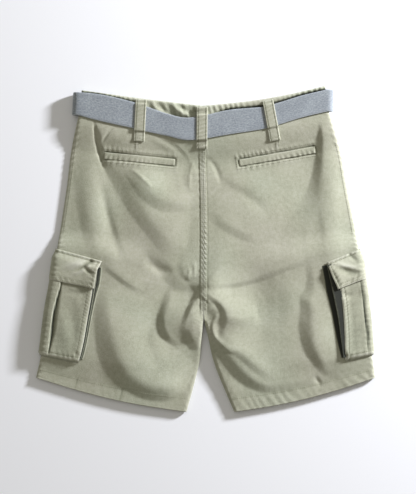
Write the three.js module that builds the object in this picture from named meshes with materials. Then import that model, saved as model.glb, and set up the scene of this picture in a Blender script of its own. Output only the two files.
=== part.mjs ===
// Cargo shorts with a webbing belt, laid flat on their front so that the back shows.
// Units are millimetres. X runs across the shorts, Y towards the waist and Z up from the table.
// Each half is a flattened tube: a back panel lies on a front panel and they meet at the side
// and inner leg. A place on a half is given by v, which goes from 0 at the waist seam to 1 at the
// hem, and by the distance in from the side edge.
import * as THREE from "three";

// Cloth, seams and folds
const CLOTH = 1.3;
const GAP = 0.3;
const HEM_CLOTH = 2.1;
const HEM_HEIGHT = 20;
const EDGE_RADIUS = 5.5;
const EDGE_ARC = 8;
const LOFT = 4.8;
const HEM_LOFT = 1.4;
const SEAM_RISE = 0.9;
const SEAM_WIDTH = 5;
const SEAM_EDGE = 1.8;
const SEATED = 0.5;

// Waist, belt, loops and buckle
const WAISTBAND_HEIGHT = 41;
const WAISTBAND_CLOTH = 2.4;
const WAIST_LIFT = 6;
const WAIST_HOLD = 0.03;
const WAIST_RAMP = 0.13;
const BAND_GAP = 3;
const BAND_OVERLAP = 32;
const BELT_WIDTH = 40;
const BELT_THICKNESS = 2.2;
const BELT_BOTTOM = 1.6;
const BELT_TURN = 8;
const LOOP_WIDTH = 17.5;
const LOOP_CLOTH = 1.3;
const LOOP_FOOT = 6;
const LOOP_SLACK = 4;
const BUCKLE_LENGTH = 48;
const BUCKLE_WALL = 1.2;
const BUCKLE_X = -58;
const BUTTON_RADIUS = 8.5;
const BUTTON_THICKNESS = 1.6;

// Cargo pockets
const POCKET_PAD = 6.1;
const POCKET_LIFT = 4.4;
const PLEAT_HALF = 15;
const PLEAT_RISE = 1.8;
const PLEAT_SIDE = 1.2;
const FLAP_CLOTH = 1.9;
const FRONT_SQUASH = 0.88;
const POCKET_FRONT = 66;
const POCKET_CLOSING = 12;
const POCKET_FLARE_WIDTH = 16;
const POCKET_SHUT = 0.03;
const FLAP_OVERHANG = 5;
const FLAP_CLOSING = 10;
const FLAP_FLARE_WIDTH = 26;
const FLAP_RISING = 0.35;
const GUSSET_CLOTH = 1.1;
const GUSSET_BEND = 0.45;

// Rows and columns of the panels' meshes
const WAIST_ROWS = 5;
const BODY_ROWS = 25;
const HEM_STEP = 0.007;
const ARC_STEPS = 3;
const BACK_COLUMNS = 17;
const FRONT_COLUMNS = 10;

// Fly
const FLY_START = 0.02;
const FLY_END = 0.44;
const ZIP_WIDTH = 26;
const ZIP_THICKNESS = 1.2;

// Stretches down a leg, by v: where a form starts, is full, begins to fade and ends.
const STRETCHES = {
  pocketUnderLeg: { start: 0.39, full: 0.485, fading: 0.885, end: 0.97 },
  seatSeam: { start: 0.05, full: 0.13, fading: 0.59, end: 0.63 },
  pleat: { start: 0.615, full: 0.65, fading: 0.86, end: 0.89 },
};
const HEM_SWELL = { start: 0.9, full: 0.95 };
const PAD_FADE = { start: 26, end: 56 };
const INNER_FOLD_LENGTH = 0.04;

// A short table: the first row names the columns and every other row is one thing.
function table(columns, ...rows) {
  return rows.map((row) => Object.fromEntries(columns.map((name, i) => [name, row[i]])));
}

// Where each section's side and inner edge lie, from the waist seam down to the hem. The inner
// edge is the seat seam as far as the crotch, then the inner leg. Sag is how far the middle of a
// section hangs below the straight line between its edges.
const SECTIONS = {
  left: table(
    ["name", "sideX", "sideY", "innerX", "innerY", "sag"],
    ["waist", -203, 212, -6, 187.5, 1],
    ["hip", -215, 158, -5.5, 134, 1],
    ["seat", -222, 102, -4, 78, 0],
    ["low seat", -231, 42, -3.5, 14, 0],
    ["flap", -238, -5, -4, -50, 0],
    ["crotch", -245, -56, -4, -110, 0],
    ["thigh", -252, -101, -6.5, -142, 1],
    ["knee", -260, -154, -12, -188, 4],
    ["hem", -271.5, -205, -31, -260, 7],
  ),
  right: table(
    ["name", "sideX", "sideY", "innerX", "innerY", "sag"],
    ["waist", 196, 219, -6, 187.5, 5],
    ["hip", 215, 158, -5.5, 134, 2],
    ["seat", 225, 102, -4, 78, 0],
    ["low seat", 236.5, 42, -3.5, 14, 0],
    ["flap", 244, -5, -4, -50, 0],
    ["crotch", 252, -56, -3, -110, 0],
    ["thigh", 257.5, -101, 3.5, -142, 1],
    ["knee", 262.5, -154, 15, -188, 4],
    ["hem", 270.5, -205, 45, -260, 7],
  ),
};
const CROTCH_V = 0.625;

// Soft fullness of the back, one row for each swelling.
const SWELLINGS = table(
  ["name", "x", "y", "across", "along", "lift"],
  ["left seat", -70, 45, 62, 75, 6],
  ["right seat", 85, 50, 85, 80, 6.5],
  ["left leg", -105, -165, 45, 70, 6.5],
  ["right leg", 95, -150, 55, 50, 7],
  ["left side", -190, 60, 22, 90, 2.5],
  ["right side", 205, 70, 20, 100, 4],
);

// Folds of the back: each runs from a to c and bends towards b, is width across, and lift is above
// zero for a ridge and below it for a trough. Start and end say how much is left at its ends.
const FOLDS = table(
  ["name", "ax", "ay", "bx", "by", "cx", "cy", "width", "lift", "start", "end"],
  ["left hip drop", -180, 205, -172, 130, -138, 60, 12, -4, 0.9, 0.7],
  ["left seat drop", -150, 90, -110, 0, -38, -15, 17, -5, 0.5, 0.5],
  ["left seat drag", -182, 90, -140, -15, -70, -72, 16, 5.5, 0.2, 0.6],
  ["left under welt", -118, 100, -85, 78, -45, 66, 12, -3, 0.2, 0.4],
  ["left flap drag", -165, -25, -140, -45, -108, -66, 11, -3, 0.8, 0.1],
  ["left leg trough", -168, -75, -172, -150, -118, -228, 15, -5, 0.4, 0.7],
  ["left thigh hollow", -66, -88, -82, -148, -34, -156, 14, -4.5, 0.4, 0.6],
  ["left thigh ridge", -92, -78, -100, -125, -78, -178, 15, 3.5, 0.4, 0.2],
  ["left crotch ridge", -12, -72, -40, -66, -62, -92, 11, 4, 0.8, 0.3],
  ["right hip drop", 178, 208, 184, 135, 150, 72, 12, -4.5, 0.9, 0.4],
  ["right seat drag", 150, 80, 125, 45, 85, 28, 17, -3, 0.6, 0.1],
  ["right short drag", 18, 118, 45, 92, 75, 66, 12, -3, 0.3, 0.2],
  ["right low drag", 10, 52, 40, 32, 75, 14, 13, -3, 0.3, 0.2],
  ["right crotch crease", 8, -62, 75, -55, 162, -24, 11, -4.5, 1, 0.4],
  ["right crotch ridge", 10, -74, 50, -72, 95, -82, 12, 4, 0.9, 0.2],
  ["right inner crease", 6, -96, 36, -160, 96, -222, 12, -4.5, 0.8, 0.5],
  ["right inner ridge", 14, -88, 34, -110, 48, -150, 10, 4, 0.8, 0.3],
  ["right pocket trough", 148, -66, 150, -140, 192, -205, 15, -5, 0.4, 0.6],
);
const FOLD_STEPS = 14;
const LOWEST_RELIEF = -0.5;

// Cargo pockets, from the mouth under the flap to the pocket's bottom. Back is the distance in
// from the side to the pocket's edge on the back panel, foot the same for the line where its
// gusset is sewn, and flare is how far that edge stands up.
const POCKETS = {
  left: table(
    ["v", "back", "foot", "flare"],
    [0.54, 68, 73, 0.6],
    [0.62, 68, 73.5, 1.4],
    [0.75, 67, 72, 1.2],
    [0.83, 66, 70.5, 1],
    [0.908, 63, 67, 0.4],
  ),
  right: table(
    ["v", "back", "foot", "flare"],
    [0.54, 45, 62, 2.4],
    [0.62, 42, 62.5, 4.2],
    [0.75, 42, 59, 4.2],
    [0.83, 43, 55.5, 3.4],
    [0.908, 46, 50.5, 0.8],
  ),
};
const FLAPS = {
  left: {
    topSide: 0.485,
    topBack: 0.5,
    lowSide: 0.608,
    lowBack: 0.605,
    topWidth: 74,
    lowWidth: 69.5,
    flare: 1.6,
  },
  right: {
    topSide: 0.487,
    topBack: 0.515,
    lowSide: 0.603,
    lowBack: 0.622,
    topWidth: 56,
    lowWidth: 45.5,
    flare: 4.4,
  },
};

// Back pocket welts, by the corners of each.
const WELTS = {
  left: table(
    ["corner", "x", "y"],
    ["outer top", -162.5, 154.5],
    ["inner top", -49.5, 143.5],
    ["inner low", -50, 133],
    ["outer low", -162.5, 143.5],
  ),
  right: table(
    ["corner", "x", "y"],
    ["outer top", 173.5, 164],
    ["inner top", 52.5, 142.5],
    ["inner low", 53.5, 132],
    ["outer low", 174.5, 153],
  ),
};
const WELT_CLOTH = 1.2;

// The belt's middle line across the back and across the front.
const BELT_BACK = table(
  ["x", "y"],
  [-202, 231],
  [-176, 226],
  [-148, 220],
  [-115, 212.5],
  [-94, 206.5],
  [-62, 197],
  [-34, 190.5],
  [-6, 192],
  [38, 201],
  [89, 208],
  [118, 217],
  [152, 226.5],
  [194, 236],
);
const BELT_FRONT = table(
  ["x", "y"],
  [-202, 231],
  [-150, 219],
  [-110, 210],
  [-84, 207],
  [-30, 207],
  [40, 207],
  [90, 210],
  [145, 221],
  [194, 236],
);

// Belt loops: the middle of each end.
const BACK_LOOPS = table(
  ["name", "half", "topX", "topY", "lowX", "lowY"],
  ["loop_back_left", "left", -103, 238, -106.5, 171],
  ["loop_back_centre", "left", -6.2, 226, -6.8, 159.5],
  ["loop_back_right", "right", 98, 237.5, 110, 172],
);
const FRONT_LOOPS = table(
  ["name", "half", "topX", "topY", "lowX", "lowY"],
  ["loop_front_left", "left", -118, 239, -122, 176],
  ["loop_front_right", "right", 104, 238, 112, 175],
);

const COLOURS = {
  twill: 0xa9ab93,
  webbing: 0x9a9fa9,
  metal: 0x9b9a94,
  button: 0x8b866f,
};

// Heights worked out from the sizes above
const BAND_FRONT_TOP = WAIST_LIFT + WAISTBAND_CLOTH;
const BAND_BACK_BOTTOM = BAND_FRONT_TOP + BAND_GAP;
const BAND_BACK_TOP = BAND_BACK_BOTTOM + WAISTBAND_CLOTH;
const BAND_MIDDLE = (BAND_BACK_BOTTOM + BAND_FRONT_TOP) / 2;
const WAIST_LOFT = BAND_BACK_TOP - WAIST_LIFT;
const BELT_LOW = BELT_BOTTOM + BELT_THICKNESS / 2;
const BELT_HIGH = BAND_BACK_TOP + GAP + BELT_THICKNESS / 2;
const BELT_TOP = BELT_HIGH + BELT_THICKNESS / 2;
const QUARTER = Math.PI / 2;

const { clamp, lerp, smoothstep } = THREE.MathUtils;

function steps(count, from = 0, to = 1) {
  return Array.from({ length: count + 1 }, (_, i) => lerp(from, to, i / count));
}

function curveOf(rows, xKey, yKey) {
  return new THREE.SplineCurve(rows.map((row) => new THREE.Vector2(row[xKey], row[yKey])));
}

// A table's column at a place between its rows, where the rows stand at the given keys.
function between(rows, keys, name, at) {
  let i = 1;
  while (i < rows.length - 1 && at > keys[i]) i++;
  const share = clamp((at - keys[i - 1]) / (keys[i] - keys[i - 1]), 0, 1);
  return lerp(rows[i - 1][name], rows[i][name], share);
}

function pocketColumn(half, name, v) {
  const rows = POCKETS[half];
  return between(
    rows,
    rows.map((row) => row.v),
    name,
    v,
  );
}

function edgesOf(rows) {
  return {
    side: curveOf(rows, "sideX", "sideY"),
    inner: curveOf(rows, "innerX", "innerY"),
    sagAt: (v) => between(rows, steps(rows.length - 1), "sag", v),
  };
}

const EDGES = { left: edgesOf(SECTIONS.left), right: edgesOf(SECTIONS.right) };

// One section of a half: its edges, its width and the direction in from the side.
function section(half, v) {
  const edges = EDGES[half];
  const side = edges.side.getPoint(v);
  const inner = edges.inner.getPoint(v);
  inner.x += half === "left" ? -GAP / 2 : GAP / 2;
  const inward = inner.sub(side);
  const width = inward.length();
  return { side, inward: inward.divideScalar(width), width, sag: edges.sagAt(v) };
}

function planPoint(sec, distance) {
  const share = clamp(distance / sec.width, 0, 1);
  const place = sec.side.clone().addScaledVector(sec.inward, distance);
  place.y -= sec.sag * Math.sin(Math.PI * share);
  return place;
}

// The section that a point in plan lies on, and its distance in from the side.
function placeOf(half, x, y) {
  let above = 0;
  let below = 1;
  for (let i = 0; i < 30; i++) {
    const v = (above + below) / 2;
    const sec = section(half, v);
    const distance = (x - sec.side.x) / sec.inward.x;
    if (planPoint(sec, distance).y > y) above = v;
    else below = v;
  }
  const sec = section(half, above);
  return { v: above, distance: (x - sec.side.x) / sec.inward.x };
}

const FOLD_LINES = FOLDS.map((fold) => {
  const curve = new THREE.QuadraticBezierCurve(
    new THREE.Vector2(fold.ax, fold.ay),
    new THREE.Vector2(fold.bx, fold.by),
    new THREE.Vector2(fold.cx, fold.cy),
  );
  return { ...fold, points: curve.getPoints(FOLD_STEPS) };
});

// How far a fold lifts the cloth at a place: most on its line, and fading across it.
function foldAt(fold, place) {
  let nearest = Infinity;
  let along = 0;
  fold.points.forEach((point, i) => {
    const distance = point.distanceTo(place);
    if (distance < nearest) {
      nearest = distance;
      along = i / FOLD_STEPS;
    }
  });
  const ends = lerp(fold.start, fold.end, along);
  const strength = lerp(ends, 1, Math.sin(Math.PI * along));
  return fold.lift * strength * Math.exp(-((nearest / fold.width) ** 2));
}

function swellingAt(swelling, place) {
  const across = (place.x - swelling.x) / swelling.across;
  const along = (place.y - swelling.y) / swelling.along;
  return swelling.lift * Math.exp(-across * across - along * along);
}

// The lift of the back at a place, kept from going below its lowest by a soft floor.
function reliefAt(place) {
  let relief = 0;
  for (const swelling of SWELLINGS) relief += swellingAt(swelling, place);
  for (const fold of FOLD_LINES) relief += foldAt(fold, place);
  const above = relief - LOWEST_RELIEF;
  return LOWEST_RELIEF + (above + Math.sqrt(above * above + 1)) / 2;
}

// How much of a form there is at v, within its stretch down the leg.
function within(stretch, v) {
  return smoothstep(v, stretch.start, stretch.full) * (1 - smoothstep(v, stretch.fading, stretch.end));
}

// How much of the waist's build-up there is: all of it down to the belt's lower edge.
function waistShare(v) {
  return 1 - smoothstep(v, WAIST_HOLD, WAIST_RAMP);
}

// Height of the front panel's outer face: on the table, but lifted by the belt at the waist and
// by the part of the cargo pocket that lies under it.
function underside(v, distance) {
  const waist = WAIST_LIFT * waistShare(v);
  const [start, end] = [POCKET_FRONT + PAD_FADE.start, POCKET_FRONT + PAD_FADE.end];
  const beside = 1 - smoothstep(distance, start, end);
  return Math.max(waist, POCKET_PAD * within(STRETCHES.pocketUnderLeg, v) * beside);
}

// Heights of a half's faces at a place, and of the level where its two panels meet.
function heights(half, v, distance, sec = section(half, v)) {
  const place = planPoint(sec, distance);
  const low = underside(v, distance);
  const laid = lerp(LOFT + reliefAt(place), WAIST_LOFT, waistShare(v));
  const loft = laid + HEM_LOFT * smoothstep(v, HEM_SWELL.start, HEM_SWELL.full);
  const strip = 1 - smoothstep(sec.width - distance, SEAM_WIDTH - SEAM_EDGE, SEAM_WIDTH);
  const felled = SEAM_RISE * within(STRETCHES.seatSeam, v) * strip;
  return { place, low, high: low + loft + felled, middle: low + loft / 2 };
}

// How much of an inner edge is folded: none along the seat seam, all along the inner leg.
function innerFold(v) {
  return smoothstep(v, CROTCH_V, CROTCH_V + INNER_FOLD_LENGTH);
}

// A point of a panel's wall. Turn goes from 0 at a folded edge to a quarter turn where the panel
// lies flat, and depth is how far the point is inside the outer face.
function panelPoint(half, face, v, spot, depth) {
  const sec = section(half, v);
  const flat = spot.edge === "flat";
  const fold = spot.edge === "inner" ? innerFold(v) : 1;
  const inset = flat ? 0 : fold * depth;
  const fromEdge = inset + (EDGE_RADIUS - inset) * (1 - Math.cos(spot.turn));
  const distances = {
    side: fromEdge,
    flat: lerp(EDGE_RADIUS, sec.width - EDGE_RADIUS, spot.share),
    inner: sec.width - fromEdge,
  };
  const { place, low, high, middle } = heights(half, v, distances[spot.edge], sec);
  const rise = flat ? 1 : 1 - fold * (1 - Math.sin(spot.turn));
  const seam = ((1 - rise) * GAP) / 2;
  const up = lerp(middle, high - depth, rise) + seam;
  const down = lerp(middle, low + depth, rise) - seam;
  return new THREE.Vector3(place.x, place.y, face === "back" ? up : down);
}

function closedGeometry(positions, index) {
  const corner = (k) => new THREE.Vector3().fromArray(positions, 3 * k);
  let volume = 0;
  for (let k = 0; k < index.length; k += 3) {
    volume += corner(index[k]).dot(corner(index[k + 1]).cross(corner(index[k + 2])));
  }
  if (volume < 0) index.reverse();
  const geometry = new THREE.BufferGeometry();
  geometry.setAttribute("position", new THREE.Float32BufferAttribute(positions, 3));
  geometry.setIndex(index);
  geometry.computeVertexNormals();
  return geometry;
}

// A closed wall between two grids of points, each a list of rows.
function wall(outer, inner) {
  const rows = outer.length;
  const columns = outer[0].length;
  const positions = [...outer, ...inner].flat().flatMap((point) => point.toArray());
  const out = (i, j) => i * columns + j;
  const back = (i, j) => rows * columns + i * columns + j;
  const index = [];
  const quad = (a, b, c, d) => index.push(a, b, c, a, c, d);
  for (let i = 0; i < rows - 1; i++) {
    for (let j = 0; j < columns - 1; j++) {
      quad(out(i, j), out(i, j + 1), out(i + 1, j + 1), out(i + 1, j));
      quad(back(i, j), back(i + 1, j), back(i + 1, j + 1), back(i, j + 1));
    }
  }
  const lastRow = rows - 1;
  const lastColumn = columns - 1;
  for (let j = 0; j < lastColumn; j++) {
    quad(out(0, j), back(0, j), back(0, j + 1), out(0, j + 1));
    quad(out(lastRow, j), out(lastRow, j + 1), back(lastRow, j + 1), back(lastRow, j));
  }
  for (let i = 0; i < lastRow; i++) {
    quad(out(i, 0), out(i + 1, 0), back(i + 1, 0), back(i, 0));
    quad(out(i, lastColumn), back(i, lastColumn), back(i + 1, lastColumn), out(i + 1, lastColumn));
  }
  return closedGeometry(positions, index);
}

const MATERIALS = {
  twill: new THREE.MeshStandardMaterial({ color: COLOURS.twill, roughness: 0.9, metalness: 0 }),
  webbing: new THREE.MeshStandardMaterial({ color: COLOURS.webbing, roughness: 0.85, metalness: 0 }),
  metal: new THREE.MeshStandardMaterial({ color: COLOURS.metal, roughness: 0.35, metalness: 1 }),
  button: new THREE.MeshStandardMaterial({ color: COLOURS.button, roughness: 0.5, metalness: 0 }),
};

function piece(name, geometry, material = "twill") {
  const mesh = new THREE.Mesh(geometry, MATERIALS[material]);
  mesh.name = name;
  return mesh;
}

// Where a half's panels have their rows: close together at the waist, then even down to the
// hem's stitching, then the doubled hem.
function stationsOf(half) {
  const hemV = 1 - HEM_HEIGHT / EDGES[half].side.getLength();
  const waist = steps(WAIST_ROWS, 0, WAIST_RAMP).slice(0, -1);
  return [...waist, ...steps(BODY_ROWS, WAIST_RAMP, hemV), hemV + HEM_STEP, 1];
}

const STATIONS = { left: stationsOf("left"), right: stationsOf("right") };

// Panels are made of the rows above and of spots across: round the side edge, over the flat and
// round the inner edge.
function panel(half, face, flatSteps) {
  const turns = steps(ARC_STEPS, 0, QUARTER).slice(0, -1);
  const spots = [
    ...turns.map((turn) => ({ edge: "side", turn })),
    ...steps(flatSteps).map((share) => ({ edge: "flat", share })),
    ...turns.reverse().map((turn) => ({ edge: "inner", turn })),
  ];
  const stations = STATIONS[half];
  const hemV = stations[stations.length - 3];
  const thickness = (v) => lerp(CLOTH, HEM_CLOTH, smoothstep(v, hemV, hemV + HEM_STEP));
  const grid = (deep) =>
    stations.map((v) => {
      const depth = deep ? thickness(v) : 0;
      return spots.map((spot) => panelPoint(half, face, v, { share: 0, turn: 0, ...spot }, depth));
    });
  return piece(`${face}_${half}`, wall(grid(false), grid(true)));
}

// A point of what lies on the side of a leg: around is the distance from the side edge, above
// zero on the back and below it on the front, and off is the distance out from the leg.
function onSide(half, v, around, off) {
  const sec = section(half, v);
  const reach = Math.abs(around);
  const turn = Math.min(reach / EDGE_ARC, 1) * QUARTER;
  const flat = Math.max(reach - EDGE_ARC, 0);
  const fromEdge = EDGE_RADIUS * (1 - Math.cos(turn)) + flat;
  const { low, high, middle } = heights(half, v, fromEdge, sec);
  const place = planPoint(sec, fromEdge - off * Math.cos(turn));
  const up = lerp(middle, high + off, Math.sin(turn));
  const down = lerp(middle, low - off * FRONT_SQUASH, Math.sin(turn));
  return new THREE.Vector3(place.x, place.y, around < 0 ? down : up);
}

// Distances round the side at which a pocket or flap has points, from its back to its front edge.
function aroundStops(back, front) {
  const halfWay = (edge) => [
    edge,
    edge - 5,
    edge - 12,
    lerp(edge - 12, PLEAT_HALF, 0.5),
    PLEAT_HALF + PLEAT_SIDE,
    PLEAT_HALF,
    EDGE_ARC,
    EDGE_ARC * 0.6,
    EDGE_ARC * 0.25,
  ];
  const before = halfWay(front).map((around) => -around);
  return [...halfWay(back), ...before.reverse()];
}

function cargoPocket(half) {
  const rows = POCKETS[half];
  const mouth = rows[0].v;
  const bottom = rows[rows.length - 1].v;
  const stations = [...steps(11, mouth, bottom - POCKET_SHUT), bottom - POCKET_SHUT / 2, bottom];
  const sewn = SEATED + CLOTH;
  const grid = (depth) =>
    stations.map((v) => {
      const back = pocketColumn(half, "back", v);
      const flare = pocketColumn(half, "flare", v);
      const shut = smoothstep(v, bottom - POCKET_SHUT, bottom);
      const pleat = PLEAT_RISE * within(STRETCHES.pleat, v);
      return aroundStops(back, POCKET_FRONT).map((around) => {
        const boxed = Math.abs(around) <= PLEAT_HALF ? pleat : 0;
        const edge = flare * smoothstep(around, back - POCKET_FLARE_WIDTH, back - 2);
        const front = smoothstep(-around, POCKET_FRONT - POCKET_CLOSING, POCKET_FRONT);
        const open = POCKET_LIFT + boxed + edge;
        return onSide(half, v, around, lerp(open, sewn, Math.max(shut, front)) - depth);
      });
    });
  return piece("cargo_pocket_" + half, wall(grid(0), grid(CLOTH)));
}

function cargoFlap(half) {
  const flap = FLAPS[half];
  const front = POCKET_FRONT + FLAP_OVERHANG;
  const sewn = SEATED + FLAP_CLOTH;
  const grid = (depth) =>
    steps(7).map((down) => {
      const back = lerp(flap.topWidth, flap.lowWidth, down);
      const over = smoothstep(down, 0, FLAP_RISING);
      return aroundStops(back, front).map((around) => {
        const share = clamp(around / back, 0, 1);
        const top = lerp(flap.topSide, flap.topBack, share);
        const low = lerp(flap.lowSide, flap.lowBack, share);
        const edge = flap.flare * smoothstep(around, back - FLAP_FLARE_WIDTH, back - 4);
        const ended = smoothstep(-around, front - FLAP_CLOSING, front);
        const open = POCKET_LIFT + SEATED + FLAP_CLOTH + edge;
        const lift = lerp(sewn, open, over * (1 - ended));
        return onSide(half, lerp(top, low, down), around, lift - depth);
      });
    });
  return piece("cargo_flap_" + half, wall(grid(0), grid(FLAP_CLOTH)));
}

// The bellows strip at a pocket's back edge: a foot flat on the leg, then a wall up to the edge.
function cargoGusset(half) {
  const rows = POCKETS[half];
  const stations = steps(11, rows[0].v, rows[rows.length - 1].v - POCKET_SHUT);
  const grid = (outer) =>
    stations.map((v) => {
      const edge = pocketColumn(half, "back", v) + GAP;
      const foot = pocketColumn(half, "foot", v);
      const top = POCKET_LIFT + pocketColumn(half, "flare", v) - GAP;
      const bend = edge + Math.max(GUSSET_BEND * (foot - edge), GUSSET_CLOTH + GAP);
      const low = SEATED + (outer ? GUSSET_CLOTH : 0);
      const knee = bend + (outer ? GUSSET_CLOTH : 0);
      const tip = edge + (outer ? GUSSET_CLOTH : 0);
      const sewn = foot + 2 * GUSSET_CLOTH;
      return [
        onSide(half, v, sewn, low),
        onSide(half, v, lerp(sewn, knee, 0.6), low),
        onSide(half, v, knee, low),
        onSide(half, v, lerp(knee, tip, 0.5), lerp(low, top, 0.42)),
        onSide(half, v, tip, top),
      ];
    });
  return piece("cargo_gusset_" + half, wall(grid(true), grid(false)));
}

// A back pocket's welt, a strip between its four corners that follows the panel under it.
function backWelt(half) {
  const [outerTop, innerTop, innerLow, outerLow] = WELTS[half].map(({ x, y }) => placeOf(half, x, y));
  const grid = (lift) =>
    steps(2).map((down) =>
      steps(12).map((along) => {
        const at = (key) => {
          const outer = lerp(outerTop[key], outerLow[key], down);
          return lerp(outer, lerp(innerTop[key], innerLow[key], down), along);
        };
        const { place, high } = heights(half, at("v"), at("distance"));
        return new THREE.Vector3(place.x, place.y, high + lift);
      }),
    );
  return piece("back_welt_" + half, wall(grid(SEATED + WELT_CLOTH), grid(SEATED)));
}

// A point of the waistband, which is sewn above the waist seam. Share goes from 0 at the side to
// 1 at the centre, and turn is less than a quarter where the band rounds the side.
function bandPoint(half, up, share, turn, level, radius) {
  const sec = section(half, 0);
  const place = planPoint(sec, lerp(EDGE_RADIUS, sec.width, share) - radius * Math.cos(turn));
  const upright = half === "left" ? 1 : -1;
  place.x -= upright * sec.inward.y * up * (1 - share);
  return new THREE.Vector3(place.x, place.y + up, lerp(level.middle, level.flat, Math.sin(turn)));
}

function bandLevel(face, depth) {
  const back = face === "back";
  const flat = back ? BAND_BACK_TOP - depth : WAIST_LIFT + depth;
  return { flat, middle: BAND_MIDDLE + (back ? GAP : -GAP) / 2 };
}

function bandRow(half, face, up, depth, count) {
  const level = bandLevel(face, depth);
  const turns = steps(ARC_STEPS, 0, QUARTER).slice(0, -1);
  const round = turns.map((turn) => bandPoint(half, up, 0, turn, level, EDGE_RADIUS - depth));
  const flat = steps(count).map((share) => bandPoint(half, up, share, QUARTER, level, 0));
  return [...round, ...flat];
}

function waistbandBack() {
  const grid = (depth) =>
    [GAP, WAISTBAND_HEIGHT / 2, WAISTBAND_HEIGHT].map((up) => {
      const left = bandRow("left", "back", up, depth, 9);
      const right = bandRow("right", "back", up, depth, 9).reverse();
      const seam = left.pop().add(right.shift()).multiplyScalar(0.5);
      return [...left, seam, ...right];
    });
  return piece("waistband_back", wall(grid(0), grid(WAISTBAND_CLOTH)));
}

// A front half of the waistband. The right one goes on past the centre, over the left one, as
// far as the button needs.
function waistbandFront(half) {
  const grid = (depth) =>
    [GAP, WAISTBAND_HEIGHT].map((up) => {
      const row = bandRow(half, "front", up, depth, 8).slice(0, -1);
      const level = bandLevel("front", depth);
      const near = (side, reach, rise) => {
        const share = 1 - reach / (section(side, 0).width - EDGE_RADIUS);
        const point = bandPoint(side, up, share, QUARTER, level, 0);
        point.z += rise;
        return point;
      };
      if (half === "left") return [...row, near("left", GAP, 0)];
      const over = WAISTBAND_CLOTH + GAP;
      const tab = [BAND_OVERLAP / 2, BAND_OVERLAP].map((reach) => near("left", reach, over));
      return [...row, near("right", 10, 0), near("right", 1, over), ...tab];
    });
  return piece("waistband_front_" + half, wall(grid(0), grid(WAISTBAND_CLOTH)));
}

// The parameter of a curve where it has the given x.
function shareAtX(curve, x) {
  const missed = (t) => Math.abs(curve.getPoint(t).x - x);
  return steps(400).reduce((best, t) => (missed(t) < missed(best) ? t : best));
}

// The belt's line, from inside the buckle round the right side, over the back, round the left
// side and into the buckle again.
function beltLine() {
  const front = curveOf(BELT_FRONT, "x", "y");
  const back = curveOf(BELT_BACK, "x", "y");
  const middle = (BELT_LOW + BELT_HIGH) / 2;
  const flat = (curve, t, z) => {
    const at = curve.getPoint(t);
    const along = curve.getTangent(t);
    return { at: new THREE.Vector3(at.x, at.y, z), across: new THREE.Vector3(-along.y, along.x, 0) };
  };
  const turned = (t, outward) => {
    const end = flat(back, t, middle);
    const angles = steps(6, -QUARTER, QUARTER).slice(1, -1);
    return angles.map((angle) => {
      const rise = (BELT_HIGH - middle) * Math.sin(angle);
      const off = new THREE.Vector3(outward * BELT_TURN * Math.cos(angle), 0, rise);
      return { at: end.at.clone().add(off), across: end.across };
    });
  };
  const start = shareAtX(front, BUCKLE_X + GAP);
  const end = shareAtX(front, BUCKLE_X - GAP);
  return [
    ...steps(9, start, 1).map((t) => flat(front, t, BELT_LOW)),
    ...turned(1, 1),
    ...steps(26, 1, 0).map((t) => flat(back, t, BELT_HIGH)),
    ...turned(0, -1).reverse(),
    ...steps(7, 0, end).map((t) => flat(front, t, BELT_LOW)),
  ];
}

function belt() {
  const line = beltLine();
  const row = (face) =>
    line.map(({ at, across }, i) => {
      const before = line[Math.max(i - 1, 0)].at;
      const after = line[Math.min(i + 1, line.length - 1)].at;
      const out = after.clone().sub(before).cross(across).normalize();
      const middle = at.clone().addScaledVector(out, (face * BELT_THICKNESS) / 2);
      return [-0.5, 0.5].map((share) => middle.clone().addScaledVector(across, share * BELT_WIDTH));
    });
  return piece("belt", wall(row(1), row(-1)), "webbing");
}

// The buckle is a flat metal sleeve, hidden at the front, in which both ends of the belt are held.
function buckle() {
  const front = curveOf(BELT_FRONT, "x", "y");
  const centre = front.getPoint(shareAtX(front, BUCKLE_X)).y;
  const opening = { half: BELT_WIDTH / 2 + 1, height: BELT_THICKNESS + 2 * GAP };
  const half = opening.half + 2 * BUCKLE_WALL;
  const height = opening.height + 2 * BUCKLE_WALL;
  const shape = new THREE.Shape().moveTo(-half, 0).lineTo(half, 0);
  shape.lineTo(half, height).lineTo(-half, height);
  const ceiling = BUCKLE_WALL + opening.height;
  const hole = new THREE.Path().moveTo(-opening.half, BUCKLE_WALL).lineTo(-opening.half, ceiling);
  shape.holes.push(hole.lineTo(opening.half, ceiling).lineTo(opening.half, BUCKLE_WALL));
  const geometry = new THREE.ExtrudeGeometry(shape, { depth: BUCKLE_LENGTH, bevelEnabled: false });
  const [alongX, alongY, alongZ] = [0, 1, 2].map((k) => new THREE.Vector3().setComponent(k, 1));
  geometry.applyMatrix4(new THREE.Matrix4().makeBasis(alongY, alongZ, alongX));
  geometry.translate(BUCKLE_X - BUCKLE_LENGTH / 2, centre, BELT_BOTTOM - GAP - BUCKLE_WALL);
  return piece("belt_buckle", geometry, "metal");
}

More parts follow.
